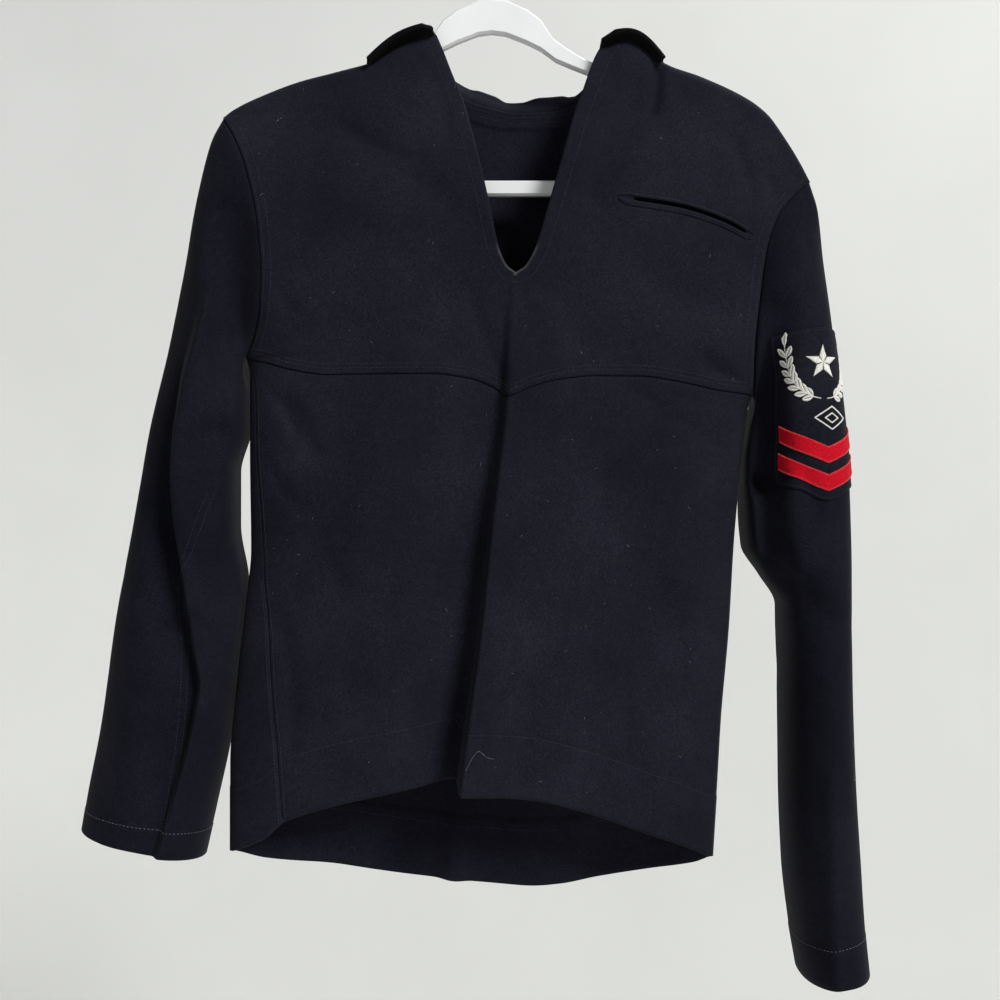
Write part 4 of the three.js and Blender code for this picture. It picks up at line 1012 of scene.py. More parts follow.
def sewSkirt():
    z = np.linspace(-402, -772, 300)
    seamX = sides["left"]["foldAt"](z) + seamTurn(z)
    sew("front", "front", bodyPoints(seamX + sewing["sideRow"], z, "front"), fromFront)
    low = z[z < -560]
    sew("back", "back", bodyPoints(seamX[z < -560] - sewing["sideRow"], low, "front"), fromFront)
    x = np.linspace(-170, 186, 400)
    sew("front", "front", bodyPoints(x, hemAt["front"](x) + hemDepth, "front"), fromFront)
    x = np.linspace(-221, -177, 60)
    sew("back", "back", bodyPoints(x, hemAt["front"](x) + hemDepth, "front"), fromFront)
    x = np.linspace(-214, 182, 400)
    sew("back", "back", bodyPoints(x, hemAt["back"](x) + hemDepth, "back"), fromBehind)
    inside = bodyPoints(x, hemAt["back"](x) + hemDepth - 2.5, "back") - sewing["insideStep"]
    sew("back", "back", inside)
    at = np.linspace(0.04, 0.96, 200)
    for row in sewing["neckRows"]:
        x, z = beside(neckline[0](at), neckline[1](at), row)
        sew("back", "back", bodyPoints(x, z, "back") - sewing["insideStep"])


def sewSleeves():
    t = np.linspace(0, 1, 400)
    for name, piece in (("left", "sleeveLeft"), ("right", "sleeveRight")):
        line = sleevePoints(name, 1 - cuffDepth / sleeveLength, t)
        sew(f"{piece}Cuff", piece, line, pitch=3.4, length=2.3, radius=0.27)
    at = np.linspace(0.38, 0.95, 300)
    share = through(felledSeam, "at", "share")(at)
    turn = np.arccos(power(1 - 2 * share, 1 / sectionAt["left"]["square"](at)))
    line = plainSleeve("left", at, turn)
    for offset in (-2.5, 2.5):
        sew("sleeveLeft", "sleeveLeft", line + np.array([offset, 0, 0]), fromFront)


def sewCollar():
    at = np.linspace(0.12, 0.88, 500)
    side = np.where(at <= 0.36, 1, np.where(at >= 0.64, -1, 0))
    row = sewing["collarRow"]
    x = np.clip(stationAt["edgeX"](at) + row * side, -166 + row, 202 - row)
    z = np.maximum(stationAt["edgeZ"](at), -386 + row)
    sew("collar", "collar", np.stack([x, 0 * x, z], axis=-1), fromBehind)


sewYoke()
sewArmholes()
sewSkirt()
sewSleeves()
sewCollar()
print("seams sewn")

# The pocket: two lips round its mouth, with a tack at each end
pocketLook = {
    "from": 105, "to": 220, "mouthFrom": 118, "mouthTo": 214, "mouth": 1.7, "taper": 9,
    "rows": (4.0, -5.6), "pitch": 2.3, "stitch": 1.6, "tack": 11, "tackSpread": 3.6, "tackRadius": 0.3,
    "upper": ((4.6, 0.1), (4.1, 0.75), (3.1, 1.15), (2.2, 1.0), (1.7, 0.25)),
    "lower": ((-1.7, 0.25), (-2.3, 1.2), (-3.6, 1.55), (-5.2, 1.2), (-6.2, 0.8), (-6.8, 0.1)),
}
pocketSlit = through(
    rows("x z", (105, -238), (120, -240), (156, -245), (190, -255), (220, -269)), "x", "z",
)
slitDrop = 1.5  # from the slit's line in the table to the middle of the mouth


def pocketPlaces(x, profile, narrow):
    lines = []
    for offset, height in profile:
        z = pocketSlit(x) - slitDrop + offset * narrow
        hits, outs = placeOn(surfaces["frontYoke"], bodyPoints(x, z, "front"), fromFront)
        lines.append(hits + outs * (0.1 + height * narrow)[:, None])
    return np.stack(lines)


def makePocket():
    look = pocketLook
    x = np.linspace(look["from"], look["to"], 90)
    fromEnd = np.minimum(x - look["from"], look["to"] - x)
    narrow = 0.25 + 0.75 * np.sqrt(np.clip(fromEnd / look["taper"], 0, 1))
    grids.clear()
    for profile in (look["upper"], look["lower"]):
        fine = np.linspace(0, len(profile) - 1, 13)
        corners = np.arange(len(profile))
        smoothed = [np.interp(fine, corners, [row[i] for row in profile]) for i in (0, 1)]
        addGrid("pocket", pocketPlaces(x, list(zip(*smoothed)), narrow), True)
    lips = makeWall("clothPocket", "pocket", weld(grids), 0.05, 0.05)
    grids.clear()
    # The mouth is a near-black strip laid on the surface between the lips, as painted shadow of the
    # opening
    x = np.linspace(look["mouthFrom"], look["mouthTo"], 60)
    wide = np.sqrt(np.clip(np.minimum(x - x[0], x[-1] - x) / 8, 0.02, 1))
    strip = [(look["mouth"] * share, 0.12) for share in (1.2, 0.4, -0.4, -1.2)]
    addGrid("mouth", pocketPlaces(x, strip, wide), True)
    mouth = makeWall("pocketMouth", "mouth", weld(grids), 0.03, 0.03)
    grids.clear()
    surfaces["pocket"] = surfaceOf(lips)
    return lips, mouth


def sewPocket():
    look = pocketLook
    for offset in look["rows"]:
        x = np.linspace(look["mouthFrom"] - 4, look["mouthTo"] + 2, 200)
        line = bodyPoints(x, pocketSlit(x) - slitDrop + offset, "front")
        sew("pocket", "pocket", line, fromFront, pitch=look["pitch"], length=look["stitch"])
    for x, way in ((look["from"] + 1, 1), (look["to"] - 1, -1)):
        steps = np.linspace(0, 1, 12)
        tackX = x + way * look["tack"] * steps
        spread = look["tackSpread"] * steps
        for sign in (-1, 1):
            middle = pocketSlit(tackX) - slitDrop
            start = bodyPoints(tackX, middle, "front")
            end = bodyPoints(tackX + way * 1.5, middle + sign * spread, "front")
            starts, outs = placeOn(surfaces["pocket"], start, fromFront)
            ends, _ = placeOn(surfaces["pocket"], end, fromFront)
            good = np.linalg.norm(ends - starts, axis=1) < 8
            addThreads("pocket", starts[good], ends[good], outs[good], look["tackRadius"])


pieces["pocket"], pocketMouth = makePocket()
sewPocket()

# The badge on the right sleeve: its places are given by the distance round the sleeve and the height
badgeLook = {
    "middleX": 276, "half": 47, "lift": 0.35, "thick": 1.1, "chevronHalf": 42, "chevronHeight": 13.5,
    "chevronRise": 18, "chevronThick": 0.8,
}
chevronTips = {"chevronUpper": -448, "chevronLower": -471}
badgeTop = through(rows("s z", (-47, -356), (0, -349), (47, -352)), "s", "z")
badgeFoot = through(rows("s z", (-47, -479), (-24, -483), (0, -492), (24, -483), (47, -479)), "s", "z")
levelPitch, roundPitch, firstLevel, firstRound = 3.0, 2.0, -510.0, -62.0
armMiddle, armReach = (262, 12), 150


# The sleeve's outline at each level, as seen from outside it, by the distance round it
def sleeveTable(surface):
    levels = np.arange(firstLevel, -330, levelPitch)
    around = np.arange(firstRound, 63, roundPitch)
    angles = np.radians(np.linspace(-130, 60, 96))
    table = np.zeros((len(levels), len(around), 2))
    for i, z in enumerate(levels):
        outline = []
        for c, s in zip(np.cos(angles), np.sin(angles)):
            place = Vector((armMiddle[0] + armReach * c, armMiddle[1] + armReach * s, z))
            hit, _, _, _ = surface.ray_cast(place, Vector((-c, -s, 0)))
            outline.append(hit[:2])
        outline = np.array(outline)
        run = lengthAlong(outline)
        start = run[np.argmax(outline[:, 0] >= badgeLook["middleX"])]
        for j in (0, 1):
            table[i, :, j] = np.interp(around, run - start, outline[:, j])
    return table


badgeTable = sleeveTable(surfaces["sleeveRight"])


def badgePlace(s, z):
    row = np.clip((z - firstLevel) / levelPitch, 0, len(badgeTable) - 1.001)
    column = np.clip((s - firstRound) / roundPitch, 0, badgeTable.shape[1] - 1.001)
    i, j = row.astype(int), column.astype(int)
    a, b = (row - i)[..., None], (column - j)[..., None]
    low = mix(badgeTable[i, j], badgeTable[i, j + 1], b)
    high = mix(badgeTable[i + 1, j], badgeTable[i + 1, j + 1], b)
    return np.concatenate([mix(low, high, a), z[..., None]], axis=-1)


def onSleeve(s, z, lift):
    s, z = np.broadcast_arrays(np.asarray(s, float), np.asarray(z, float))
    sideways = badgePlace(s + 3, z) - badgePlace(s - 3, z)
    upwards = badgePlace(s, z + 3) - badgePlace(s, z - 3)
    out = np.cross(sideways, upwards)
    out /= np.linalg.norm(out, axis=-1, keepdims=True)
    return badgePlace(s, z) + out * lift, out


def makeBadge():
    look = badgeLook
    made = {}
    s = np.linspace(-look["half"], look["half"], 80)
    down = np.linspace(0, 1, 90)[:, None]
    places, _ = onSleeve(s, mix(badgeTop(s), badgeFoot(s), down), look["lift"])
    grids.clear()
    addGrid("badge", places, True)
    made["badge"] = makeWall("badgeGround", "badge", weld(grids), look["thick"], 0)
    s = np.linspace(-look["chevronHalf"], look["chevronHalf"], 90)
    for name, tip in chevronTips.items():
        grids.clear()
        top = tip + look["chevronRise"] * np.abs(s) / look["chevronHalf"]
        z = top - np.linspace(0, look["chevronHeight"], 12)[:, None]
        places, _ = onSleeve(s, z, look["lift"] + look["thick"] + 0.1)
        addGrid(name, places, True)
        made[name] = makeWall(name, name, weld(grids), look["chevronThick"], 0)
    grids.clear()
    return made


# Threads on the badge, from and to places given as rows of distance round the sleeve and height
def embroider(batch, starts, ends, radius=0.3, rise=0.25):
    lift = badgeLook["lift"] + badgeLook["thick"] + rise
    first, outs = onSleeve(starts[:, 0], starts[:, 1], lift)
    second, _ = onSleeve(ends[:, 0], ends[:, 1], lift)
    addThreads(batch, first, second, outs, radius)


# Satin threads across a strip: the middle line, its ways across and its half width
def satin(batch, line, across, half, slant=0.0, rise=0.25):
    run = np.gradient(line, axis=0)
    run /= np.maximum(np.linalg.norm(run, axis=1, keepdims=True), 1e-9)
    wide = half[:, None]
    embroider(batch, line - across * wide - run * slant, line + across * wide + run * slant, rise=rise)


def leaf(base, way, length, half):
    way = way / np.linalg.norm(way)
    across = np.array([-way[1], way[0]])
    t = np.arange(0, length, 0.5) / length
    vein = base + way * (t * length)[:, None]
    wide = half * np.sin(np.pi * np.clip(t, 0.03, 0.97)) ** 0.7
    for sign in (-1, 1):
        edge = vein + way * 1.1 + sign * across * wide[:, None]
        embroider("motif", vein, edge, rise=0.35)


motif = {
    "star": (-3, -378), "starRadius": 15, "waist": 6.4, "stem": ((3, -408), (30, -404), (31, -364)),
    "leaves": 8, "leafLength": 10.5, "leafHalf": 2.6, "diamond": (4, -424), "diamondHalf": (15, 9.5),
    "barHalf": 0.7,
}


def embroiderStar():
    radius, waist = motif["starRadius"], motif["waist"]
    shoulder, hip = waist * math.cos(math.pi / 5), waist * math.sin(math.pi / 5)
    for arm in range(5):
        angle = math.pi / 2 + arm * 2 * math.pi / 5
        way = np.array([math.cos(angle), math.sin(angle)])
        across = np.array([-way[1], way[0]])
        far = np.arange(0.4, radius, 0.45)
        half = np.where(far < shoulder, hip * far / shoulder, hip * (radius - far) / (radius - shoulder))
        satin("motif", np.array(motif["star"]) + way * far[:, None], across, half, rise=0.4)


def embroiderSprigs():
    for sign in (-1, 1):
        start, bend, end = (np.array([motif["star"][0] + sign * s, z]) for s, z in motif["stem"])
        t = np.linspace(0, 1, 70)[:, None]
        stem = mix(mix(start, bend, t), mix(bend, end, t), t)
        run = np.gradient(stem, axis=0)
        run /= np.linalg.norm(run, axis=1, keepdims=True)
        satin("motif", stem, np.stack([-run[:, 1], run[:, 0]], axis=-1), np.full(70, 0.55), slant=0.5)
        for i in range(motif["leaves"]):
            at = int(mix(8, 69, i / (motif["leaves"] - 1)))
            for turn in (-0.62, 0.62) if i < motif["leaves"] - 1 else (0,):
                c, s = math.cos(turn), math.sin(turn)
                way = np.array([c * run[at, 0] - s * run[at, 1], s * run[at, 0] + c * run[at, 1]])
                leaf(stem[at], way, motif["leafLength"] * (0.8 + 0.03 * i), motif["leafHalf"])


def embroiderDiamond():
    centre = np.array(motif["diamond"], float)
    halfWide, halfTall = motif["diamondHalf"]
    for scale in (1, 0.42):
        spokes = np.array([(halfWide, 0), (0, halfTall), (-halfWide, 0), (0, -halfTall)])
        corners = centre + scale * spokes
        for start, end in zip(corners, np.roll(corners, -1, axis=0)):
            way = (end - start) / np.linalg.norm(end - start)
            count = int(np.linalg.norm(end - start) / 0.45)
            line = mix(start, end, np.linspace(0, 1, count)[:, None])
            across = np.array([-way[1], way[0]])
            satin("motif", line, across, np.full(count, motif["barHalf"]), slant=0.15)


def sewBadge():
    look = badgeLook
    inset, stitch, pitch = 1.6, 1.6, 2.2
    s = np.linspace(-look["half"] + inset, look["half"] - inset, 160)
    edges = [np.stack([s, badgeTop(s) - inset], axis=-1), np.stack([s, badgeFoot(s) + inset], axis=-1)]
    for side in (-1, 1):
        top, foot = (float(edge(float(side * look["half"]))) for edge in (badgeTop, badgeFoot))
        z = np.linspace(top - inset, foot + inset, 90)
        edges.append(np.stack([np.full(90, side * (look["half"] - inset)), z], axis=-1))
    for line in edges:
        run = lengthAlong(line)
        at = np.arange(0, run[-1] - stitch, pitch)
        starts, ends = (
            np.stack([np.interp(at + far, run, line[:, i]) for i in (0, 1)], axis=-1)
            for far in (0, stitch)
        )
        embroider("badge", starts, ends, radius=0.22, rise=0.05)
    s = np.arange(-look["chevronHalf"] + 0.6, look["chevronHalf"] - 0.4, 1.5)
    for tip in chevronTips.values():
        top = tip + look["chevronRise"] * np.abs(s) / look["chevronHalf"]
        for z, way in ((top, -1), (top - look["chevronHeight"], 1)):
            outer = np.stack([s, z - 0.5 * way], axis=-1)
            inner = np.stack([s + 0.5, z + 1.5 * way], axis=-1)
            embroider("chevrons", outer, inner, radius=0.24, rise=look["chevronThick"] + 0.05)


pieces.update(makeBadge())
sewBadge()
embroiderStar()
embroiderSprigs()
embroiderDiamond()
print("pocket and badge made")


# Lint, and two loose ends of thread
lintLook = {
    "count": 110, "across": (-200, 210), "down": (-780, -140), "length": (0.8, 3.6), "radius": 0.07,
    "endRadius": 0.11, "endLift": 0.3,
}


def addLint():
    count = lintLook["count"]
    x, z = rng.uniform(*lintLook["across"], count), rng.uniform(*lintLook["down"], count)
    length = rng.uniform(*lintLook["length"], count)
    turn = rng.uniform(0, np.pi, count)
    ends = np.stack([x + length * np.cos(turn), 0 * x, z + length * np.sin(turn)], axis=-1)
    starts = np.stack([x, 0 * x, z], axis=-1)
    for piece in ("frontYoke", "front"):
        first, outs = placeOn(surfaces[piece], starts, fromFront)
        second, _ = placeOn(surfaces[piece], ends, fromFront)
        good = np.linalg.norm(second - first, axis=1) < 6
        addThreads("lint", first[good], second[good], outs[good], lintLook["radius"])


def addLooseEnd(piece, places):
    table = paced(rows("x z", *places))
    at = np.linspace(0, 1, 14)
    x, z = through(table, "at", "x")(at), through(table, "at", "z")(at)
    line, outs = placeOn(surfaces[piece], np.stack([x, 0 * x, z], axis=-1), fromFront)
    line = line + outs * lintLook["endLift"]
    addThreads("lint", line[:-1], line[1:], outs[:-1], lintLook["endRadius"])


addLint()
addLooseEnd("front", ((-21, -713), (-17, -705), (-10, -697), (-4, -702), (2, -704)))
addLooseEnd("sleeveRight", ((302, -694), (303.5, -706), (302.5, -716), (303, -727)))

batchLooks = {
    "frontYoke": ("threadsYoke", "navyThread", "wool"),
    "front": ("threadsFront", "navyThread", "wool"),
    "back": ("threadsBack", "navyThread", "wool"),
    "sleeveLeft": ("threadsSleeveLeft", "navyThread", "wool"),
    "sleeveLeftCuff": ("threadsCuffLeft", "paleThread", "wool"),
    "sleeveRightCuff": ("threadsCuffRight", "paleThread", "wool"),
    "collar": ("threadsCollar", "navyThread", "wool"),
    "pocket": ("threadsPocket", "navyThread", "wool"),
    "badge": ("threadsBadge", "navyThread", "badge_cloth"),
    "motif": ("badgeMotif", "whiteSilk", "badge_cloth"),
    "chevrons": ("threadsChevrons", "redSilk", "red_felt"),
    "lint": ("lint", "lintFibre", "wool"),
}
threads = {batch: makeThreads(look[0], batch) for batch, look in batchLooks.items()}
print("threads made")


def addMask(made, name, values):
    layer = made.data.attributes.new(name, "FLOAT", "POINT")
    layer.data.foreach_set("value", values.astype(np.float32))


wearLook = {"width": 0.7, "above": -278, "below": -288, "strength": 0.75}
# Painted shade mask: the collar's colour is darkened where it lies this far in front (Y in mm)
paintedShadeLook = {"behind": -6, "before": -12}


# Pale wear along the foot of the neck slit
def addWear(made):
    points = pointsOf(made)
    at = np.linspace(0, 1, 160)
    edge = np.concatenate([np.stack([line(at) for line in lines], axis=-1) for lines in slitAt.values()])
    away = np.linalg.norm(points[:, None, [0, 2]] - edge, axis=-1).min(axis=1)
    low = smooth(points[:, 2], wearLook["above"], wearLook["below"])
    near = np.exp(-((away / wearLook["width"]) ** 2)) * low
    addMask(made, "wear", wearLook["strength"] * near)


# Painted shade: the collar is darkened where it stands before the yoke, at its front ends under the roll
def addPaintedShade(made):
    forward = smooth(pointsOf(made)[:, 1], paintedShadeLook["behind"], paintedShadeLook["before"])
    addMask(made, "paintedShade", forward)


addWear(pieces["frontYoke"])
addPaintedShade(pieces["collar"])


# Materials
def newGroup(name, inputs, outputs):
    group = bpy.data.node_groups.new(name, "ShaderNodeTree")
    for socketName, value in inputs:
        socket = group.interface.new_socket(socketName, in_out="INPUT", socket_type="NodeSocketFloat")
        socket.default_value = value
    for socketName in outputs:
        group.interface.new_socket(socketName, in_out="OUTPUT", socket_type="NodeSocketFloat")
    return group, group.nodes.new("NodeGroupInput"), group.nodes.new("NodeGroupOutput")


def node(tree, kind, settings=None, links=None):
    made = tree.nodes.new(kind)
    for key, value in (settings or {}).items():
        if isinstance(key, str) and hasattr(made, key):
            setattr(made, key, value)
        else:
            made.inputs[key].default_value = value
    for key, source in (links or {}).items():
        tree.links.new(source, made.inputs[key])
    return made


def maths(tree, operation, a, b):
    made = tree.nodes.new("ShaderNodeMath")
    made.operation = operation
    for i, value in enumerate((a, b)):
        if isinstance(value, (int, float)):
            made.inputs[i].default_value = value
        else:
            tree.links.new(value, made.inputs[i])
    return made.outputs[0]


weaveLook = {
    "slope": 0.7, "ribHeight": 0.12, "ribShade": 0.05, "hairShade": 0.35, "contrast": 0.55,
    "fuzz": {"Scale": 900.0, "Detail": 4.0, "Roughness": 0.7},
    "hairs": {"Scale": 260.0, "Detail": 3.0, "Distortion": 1.5},
    "patches": {"Scale": 9.0, "Detail": 3.0, "Roughness": 0.6},
}


# A twill weave under a nap: the shade of its threads and the height of its ribs
def makeWeave():
    group, given, result = newGroup(
        "weave", [("Rib Pitch", 1.1), ("Nap", 0.5), ("Patches", 0.5)], ["Shade", "Height"],
    )
    uv = node(group, "ShaderNodeUVMap", {"uv_map": "cloth"}).outputs[0]
    parts = node(group, "ShaderNodeSeparateXYZ", links={0: uv})
    sloped = maths(group, "MULTIPLY", parts.outputs[1], weaveLook["slope"])
    diagonal = maths(group, "ADD", parts.outputs[0], sloped)
    turns = maths(group, "MULTIPLY", diagonal, 2 * math.pi)
    rib = maths(group, "SINE", maths(group, "DIVIDE", turns, given.outputs["Rib Pitch"]), 0)
    place = node(group, "ShaderNodeTexCoord").outputs["Object"]
    fuzz, hairs, patches = (
        node(group, "ShaderNodeTexNoise", weaveLook[name], {0: place}).outputs["Fac"]
        for name in ("fuzz", "hairs", "patches")
    )
    nap = maths(group, "MULTIPLY", fuzz, given.outputs["Nap"])
    height = maths(group, "ADD", maths(group, "MULTIPLY", rib, weaveLook["ribHeight"]), nap)
    shade = maths(group, "ADD", maths(group, "MULTIPLY", rib, weaveLook["ribShade"]), fuzz)
    shade = maths(group, "ADD", shade, maths(group, "MULTIPLY", hairs, weaveLook["hairShade"]))
    patch = maths(group, "MULTIPLY", patches, given.outputs["Patches"])
    shade = maths(group, "MULTIPLY", maths(group, "ADD", shade, patch), weaveLook["contrast"])
    group.links.new(shade, result.inputs["Shade"])
    group.links.new(height, result.inputs["Height"])
    return group


weave = makeWeave()


def ramp(tree, source, stops):
    made = tree.nodes.new("ShaderNodeValToRGB")
    while len(made.color_ramp.elements) < len(stops):
        made.color_ramp.elements.new(0.5)
    for element, (place, colour) in zip(made.color_ramp.elements, stops):
        element.position = place
        element.color = (*colour, 1)
    tree.links.new(source, made.inputs[0])
    return made.outputs[0]


def newMaterial(name, roughness, specular):
    material = bpy.data.materials.new(name)
    material.use_nodes = True
    shader = material.node_tree.nodes["Principled BSDF"]
    shader.inputs["Roughness"].default_value = roughness
    shader.inputs["Specular IOR Level"].default_value = specular
    return material, material.node_tree, shader


# Each look's deep colour is painted shade, used where the collar's shade mask is set
clothLooks = {
    "wool": {
        "dark": (0.0036, 0.0039, 0.0078), "mid": (0.0078, 0.0081, 0.0148),
        "light": (0.018, 0.018, 0.027), "pitch": 1.1, "nap": 0.5, "bump": 0.4,
        "sheen": 0.02, "worn": (0.09, 0.09, 0.09), "deep": (0.0012, 0.0013, 0.0022),
    },
    # Painted shade: the sleeves take a darker copy of the wool, standing in for the shade they hang in
    "shadedSleeveWool": {
        "dark": (0.0024, 0.0027, 0.0056), "mid": (0.0053, 0.0057, 0.0108),
        "light": (0.0125, 0.0128, 0.02), "pitch": 1.1, "nap": 0.5, "bump": 0.4,
        "sheen": 0.02, "worn": (0.09, 0.09, 0.09), "deep": (0.0012, 0.0013, 0.0022),
    },
    "badgeCloth": {
        "dark": (0.0028, 0.0031, 0.0062), "mid": (0.0058, 0.0061, 0.0112),
        "light": (0.015, 0.015, 0.022), "pitch": 0.9, "nap": 0.6, "bump": 0.4,
        "sheen": 0.02, "worn": (0.05, 0.05, 0.058), "deep": (0.0012, 0.0013, 0.0022),
    },
    "redFelt": {
        "dark": (0.30, 0.0015, 0.008), "mid": (0.46, 0.002, 0.012), "light": (0.62, 0.008, 0.022),
        "pitch": 0.7, "nap": 0.7, "bump": 0.3, "sheen": 0.02, "worn": (0.6, 0.1, 0.1),
        "deep": (0.2, 0.001, 0.004),
    },
}


everyCloth = {
    "rough": 0.9, "specular": 0.1, "sheenRough": 0.45, "bumpDepth": 0.0004, "stops": (0.40, 0.52, 0.64),
}


def makeCloth(name, look):
    material, tree, shader = newMaterial(name, everyCloth["rough"], everyCloth["specular"])
    cloth = tree.nodes.new("ShaderNodeGroup")
    cloth.node_tree = weave
    cloth.inputs["Rib Pitch"].default_value = look["pitch"]
    cloth.inputs["Nap"].default_value = look["nap"]
    shades = (look["dark"], look["mid"], look["light"])
    colour = ramp(tree, cloth.outputs["Shade"], list(zip(everyCloth["stops"], shades)))
    wear = node(tree, "ShaderNodeAttribute", {"attribute_name": "wear"}).outputs["Fac"]
    worn = node(tree, "ShaderNodeMix", {"data_type": "RGBA"}, {"Factor": wear})
    tree.links.new(colour, worn.inputs[6])
    worn.inputs[7].default_value = (*look["worn"], 1)
    # Painted shade: the colour is darkened towards the look's deep colour where the collar's shade mask
    # is set
    shadeMask = node(tree, "ShaderNodeAttribute", {"attribute_name": "paintedShade"}).outputs["Fac"]
    deep = node(tree, "ShaderNodeMix", {"data_type": "RGBA"}, {"Factor": shadeMask})
    tree.links.new(worn.outputs[2], deep.inputs[6])
    deep.inputs[7].default_value = (*look["deep"], 1)
    relief = {"Strength": look["bump"], "Distance": everyCloth["bumpDepth"]}
    bump = node(tree, "ShaderNodeBump", relief)
    tree.links.new(cloth.outputs["Height"], bump.inputs["Height"])
    tree.links.new(deep.outputs[2], shader.inputs["Base Color"])
    tree.links.new(bump.outputs[0], shader.inputs["Normal"])
    shader.inputs["Sheen Weight"].default_value = look["sheen"]
    shader.inputs["Sheen Roughness"].default_value = everyCloth["sheenRough"]
    return material


# Finishes whose colour wavers between two shades: threads, the painted shadow in the pocket's mouth,
# plastic and paint
speckledLooks = {
    "navyThread": {
        "low": (0.012, 0.012, 0.02), "high": (0.036, 0.036, 0.05), "scale": 700, "rough": 0.7,
    },
    "paleThread": {"low": (0.05, 0.05, 0.055), "high": (0.15, 0.15, 0.15), "scale": 500, "rough": 0.6},
    "whiteSilk": {"low": (0.60, 0.58, 0.52), "high": (0.84, 0.83, 0.78), "scale": 900, "rough": 0.42},
    "redSilk": {"low": (0.62, 0.05, 0.05), "high": (0.80, 0.16, 0.14), "scale": 900, "rough": 0.45},
    "lintFibre": {"low": (0.10, 0.10, 0.10), "high": (0.42, 0.41, 0.38), "scale": 60, "rough": 0.8},
    "paintedMouthShadow": {
        "low": (0.0004, 0.0004, 0.0006), "high": (0.001, 0.001, 0.0014), "scale": 400, "rough": 1.0,
    },
    "plastic": {"low": (0.76, 0.765, 0.77), "high": (0.82, 0.82, 0.825), "scale": 14, "rough": 0.34},
    "wallPaint": {
        "low": (0.64, 0.645, 0.626), "high": (0.662, 0.667, 0.648), "scale": 2.5, "rough": 0.8,
    },
}


everySpeckle = {
    "specular": 0.35, "detail": 3.0, "stops": (0.35, 0.65), "bump": 0.08, "bumpDepth": 0.0003,
}


# Smoother finishes shine more
def makeSpeckled(name, look):
    shine = everySpeckle["specular"] * (1.0 - look["rough"]) / 0.5
    material, tree, shader = newMaterial(name, look["rough"], shine)
    place = node(tree, "ShaderNodeTexCoord").outputs["Object"]
    size = {"Scale": float(look["scale"]), "Detail": everySpeckle["detail"]}
    noise = node(tree, "ShaderNodeTexNoise", size, {0: place})
    shades = (look["low"], look["high"])
    colour = ramp(tree, noise.outputs["Fac"], list(zip(everySpeckle["stops"], shades)))
    tree.links.new(colour, shader.inputs["Base Color"])
    relief = {"Strength": everySpeckle["bump"], "Distance": everySpeckle["bumpDepth"]}
    bump = node(tree, "ShaderNodeBump", relief, {"Height": noise.outputs["Fac"]})
    tree.links.new(bump.outputs[0], shader.inputs["Normal"])
    return material


materials = {name: makeCloth(name, look) for name, look in clothLooks.items()}
materials.update({name: makeSpeckled(name, look) for name, look in speckledLooks.items()})


def finishPiece(made, material):
    made.data.materials.clear()
    made.data.materials.append(materials[material])
    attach(made, "root")


# Each piece's node, finish, cut and what it lies on. Cut is its width and length in metres, and its area
pieceFacts = {
    "front": ("front", "wool", "wool", (0.48, 0.40), 0.157, "hung", ["clothFrontYoke"]),
    "frontYoke": ("front_yoke", "wool", "wool", (0.50, 0.31), 0.115, "hung", ["hanger"]),
    "back": ("back", "wool", "wool", (0.52, 0.75), 0.328, "hung", ["hanger"]),
    "sleeveLeft": (
        "sleeve_left", "shadedSleeveWool", "wool",
        (0.42, 0.63), 0.166, "hung", ["clothFrontYoke", "clothBack"],
    ),
    "sleeveRight": (
        "sleeve_right", "shadedSleeveWool", "wool",
        (0.42, 0.68), 0.176, "hung", ["clothFrontYoke", "clothBack"],
    ),
    "collar": ("collar", "wool", "wool", (0.37, 0.34), 0.096, "folded", ["clothBack", "clothFrontYoke"]),
    "pocket": ("pocket_welt", "wool", "wool", (0.115, 0.0115), None, "laid", ["clothFrontYoke"]),
    "badge": (
        "badge_ground", "badgeCloth", "badge_cloth",
        (0.094, 0.143), 0.0121, "laid", ["clothSleeveRight"],
    ),
    "chevronUpper": (
        "chevron_upper", "redFelt", "red_felt",
        (0.084, 0.0315), 0.00113, "laid", ["badgeGround"],
    ),
    "chevronLower": (
        "chevron_lower", "redFelt", "red_felt",
        (0.084, 0.0315), 0.00113, "laid", ["badgeGround"],
    ),
}
sewnOn = {
    "front": ["front", "lint"],
    "frontYoke": ["frontYoke"],
    "back": ["back"],
    "sleeveLeft": ["sleeveLeft", "sleeveLeftCuff"],
    "sleeveRight": ["sleeveRightCuff"],
    "collar": ["collar"],
    "pocket": ["pocket"],
    "badge": ["badge", "motif"],
    "chevronUpper": ["chevrons"],
}
for batch, (_, material, slot) in batchLooks.items():
    finishPiece(threads[batch], material)
finishPiece(pocketMouth, "paintedMouthShadow")
for piece, (cadNode, material, slot, flat, area, held, restsOn) in pieceFacts.items():
    finishPiece(pieces[piece], material)
    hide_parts(cadNode)
    on = [threads[batch] for batch in sewnOn.get(piece, [])]
    if piece == "pocket":
        on.append(pocketMouth)

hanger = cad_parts["hanger"]
hanger.data.materials.clear()
hanger.data.materials.append(materials["plastic"])
print("materials set")

# Camera, wall, floor and lights
cameraLook = {"place": (0.007, -1.1, -0.492), "width": 0.86, "sensor": 36}
cameraData = bpy.data.cameras.new("camera")
cameraData.lens = cameraLook["sensor"] * -cameraLook["place"][1] / cameraLook["width"]
cameraData.sensor_width = cameraLook["sensor"]
camera = bpy.data.objects.new("camera", cameraData)
camera.location = cameraLook["place"]
camera.rotation_euler = (math.pi / 2, 0, 0)
bpy.context.scene.collection.objects.link(camera)
bpy.context.scene.camera = camera

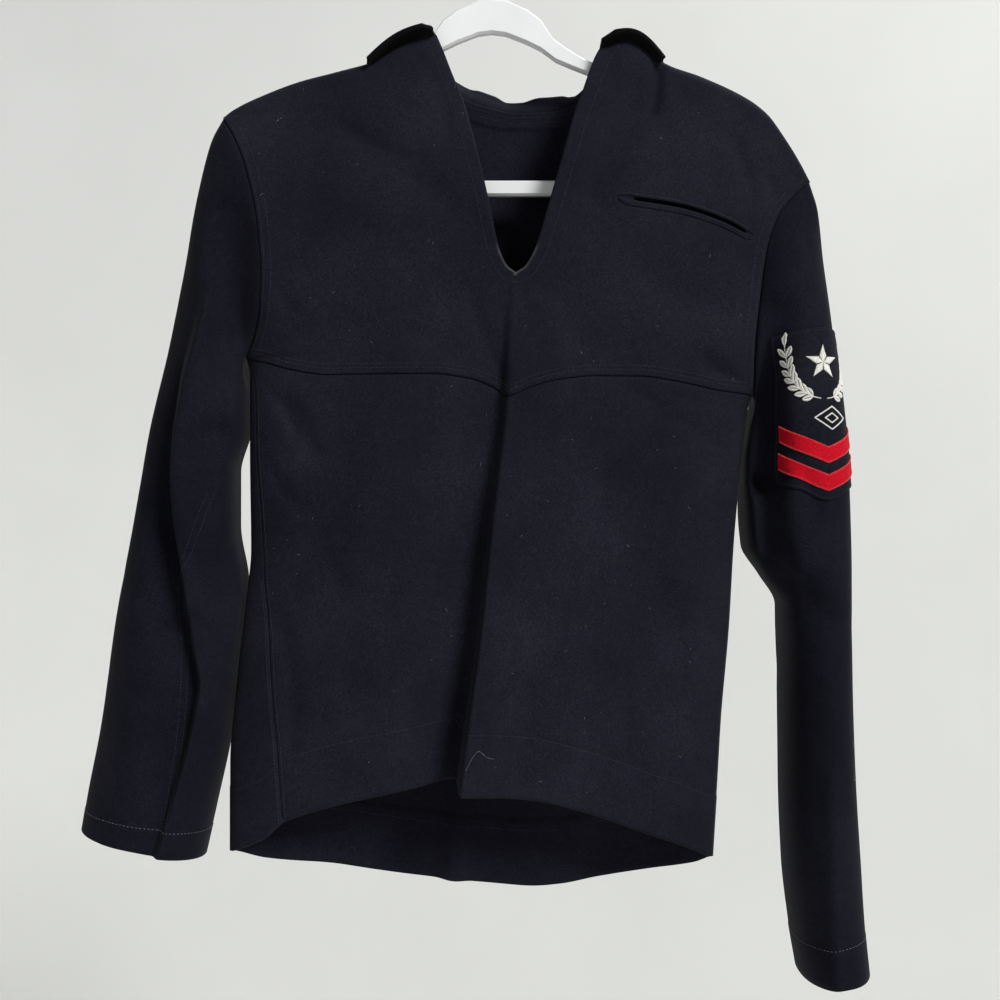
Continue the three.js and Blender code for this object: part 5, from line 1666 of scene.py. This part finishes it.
room = {"wallY": 1.9, "floorZ": -2.1, "bend": 0.3, "width": 9, "top": 2.6, "front": -4.5}


def makeBackdrop():
    wallY, floorZ, bend = room["wallY"], room["floorZ"], room["bend"]
    profile = [(wallY, room["top"])]
    for i in range(9):
        angle = math.pi / 2 * i / 8
        profile.append((wallY - bend * (1 - math.cos(angle)), floorZ + bend * (1 - math.sin(angle))))
    profile.append((room["front"], floorZ))
    half = room["width"] / 2
    points = [(x, y, z) for y, z in profile for x in (-half, half)]
    faces = [(2 * i, 2 * i + 1, 2 * i + 3, 2 * i + 2) for i in range(len(profile) - 1)]
    wall = makeMesh("backdrop", np.array(points) / mm, faces)
    wall.data.materials.append(materials["wallPaint"])


lightLooks = {
    "window": {"place": (7.4, -8.8, 7.2), "target": (0, 0, -0.45), "size": (4.0, 4.0), "watts": 2050},
    "fill": {"place": (-1.0, -4.4, -0.1), "target": (0, 0, -0.5), "size": (2.0, 2.0), "watts": 18},
    "backLight": {"place": (1.8, 1.7, 2.1), "target": (0, 0, -0.5), "size": (1.2, 1.2), "watts": 50},
    "wallLight": {
        "place": (-2.4, 0.7, -1.2), "target": (-0.8, 1.9, -0.8), "size": (1.2, 1.6), "watts": 9,
    },
}


def addLight(name, look):
    data = bpy.data.lights.new(name, "AREA")
    data.shape = "RECTANGLE"
    data.size, data.size_y = look["size"]
    data.energy = look["watts"]
    lamp = bpy.data.objects.new(name, data)
    lamp.location = look["place"]
    facing = Vector(look["target"]) - Vector(look["place"])
    lamp.rotation_euler = facing.to_track_quat("-Z", "Y").to_euler()
    bpy.context.scene.collection.objects.link(lamp)


makeBackdrop()
for name, look in lightLooks.items():
    addLight(name, look)
worldLook = {"colour": (0.97, 0.985, 1.0, 1), "strength": 0.17}
world = bpy.data.worlds.new("room")
world.use_nodes = True
background = world.node_tree.nodes["Background"]
background.inputs["Color"].default_value = worldLook["colour"]
background.inputs["Strength"].default_value = worldLook["strength"]
bpy.context.scene.world = world
bpy.context.scene.view_settings.view_transform = "Standard"
print("camera and lights set")
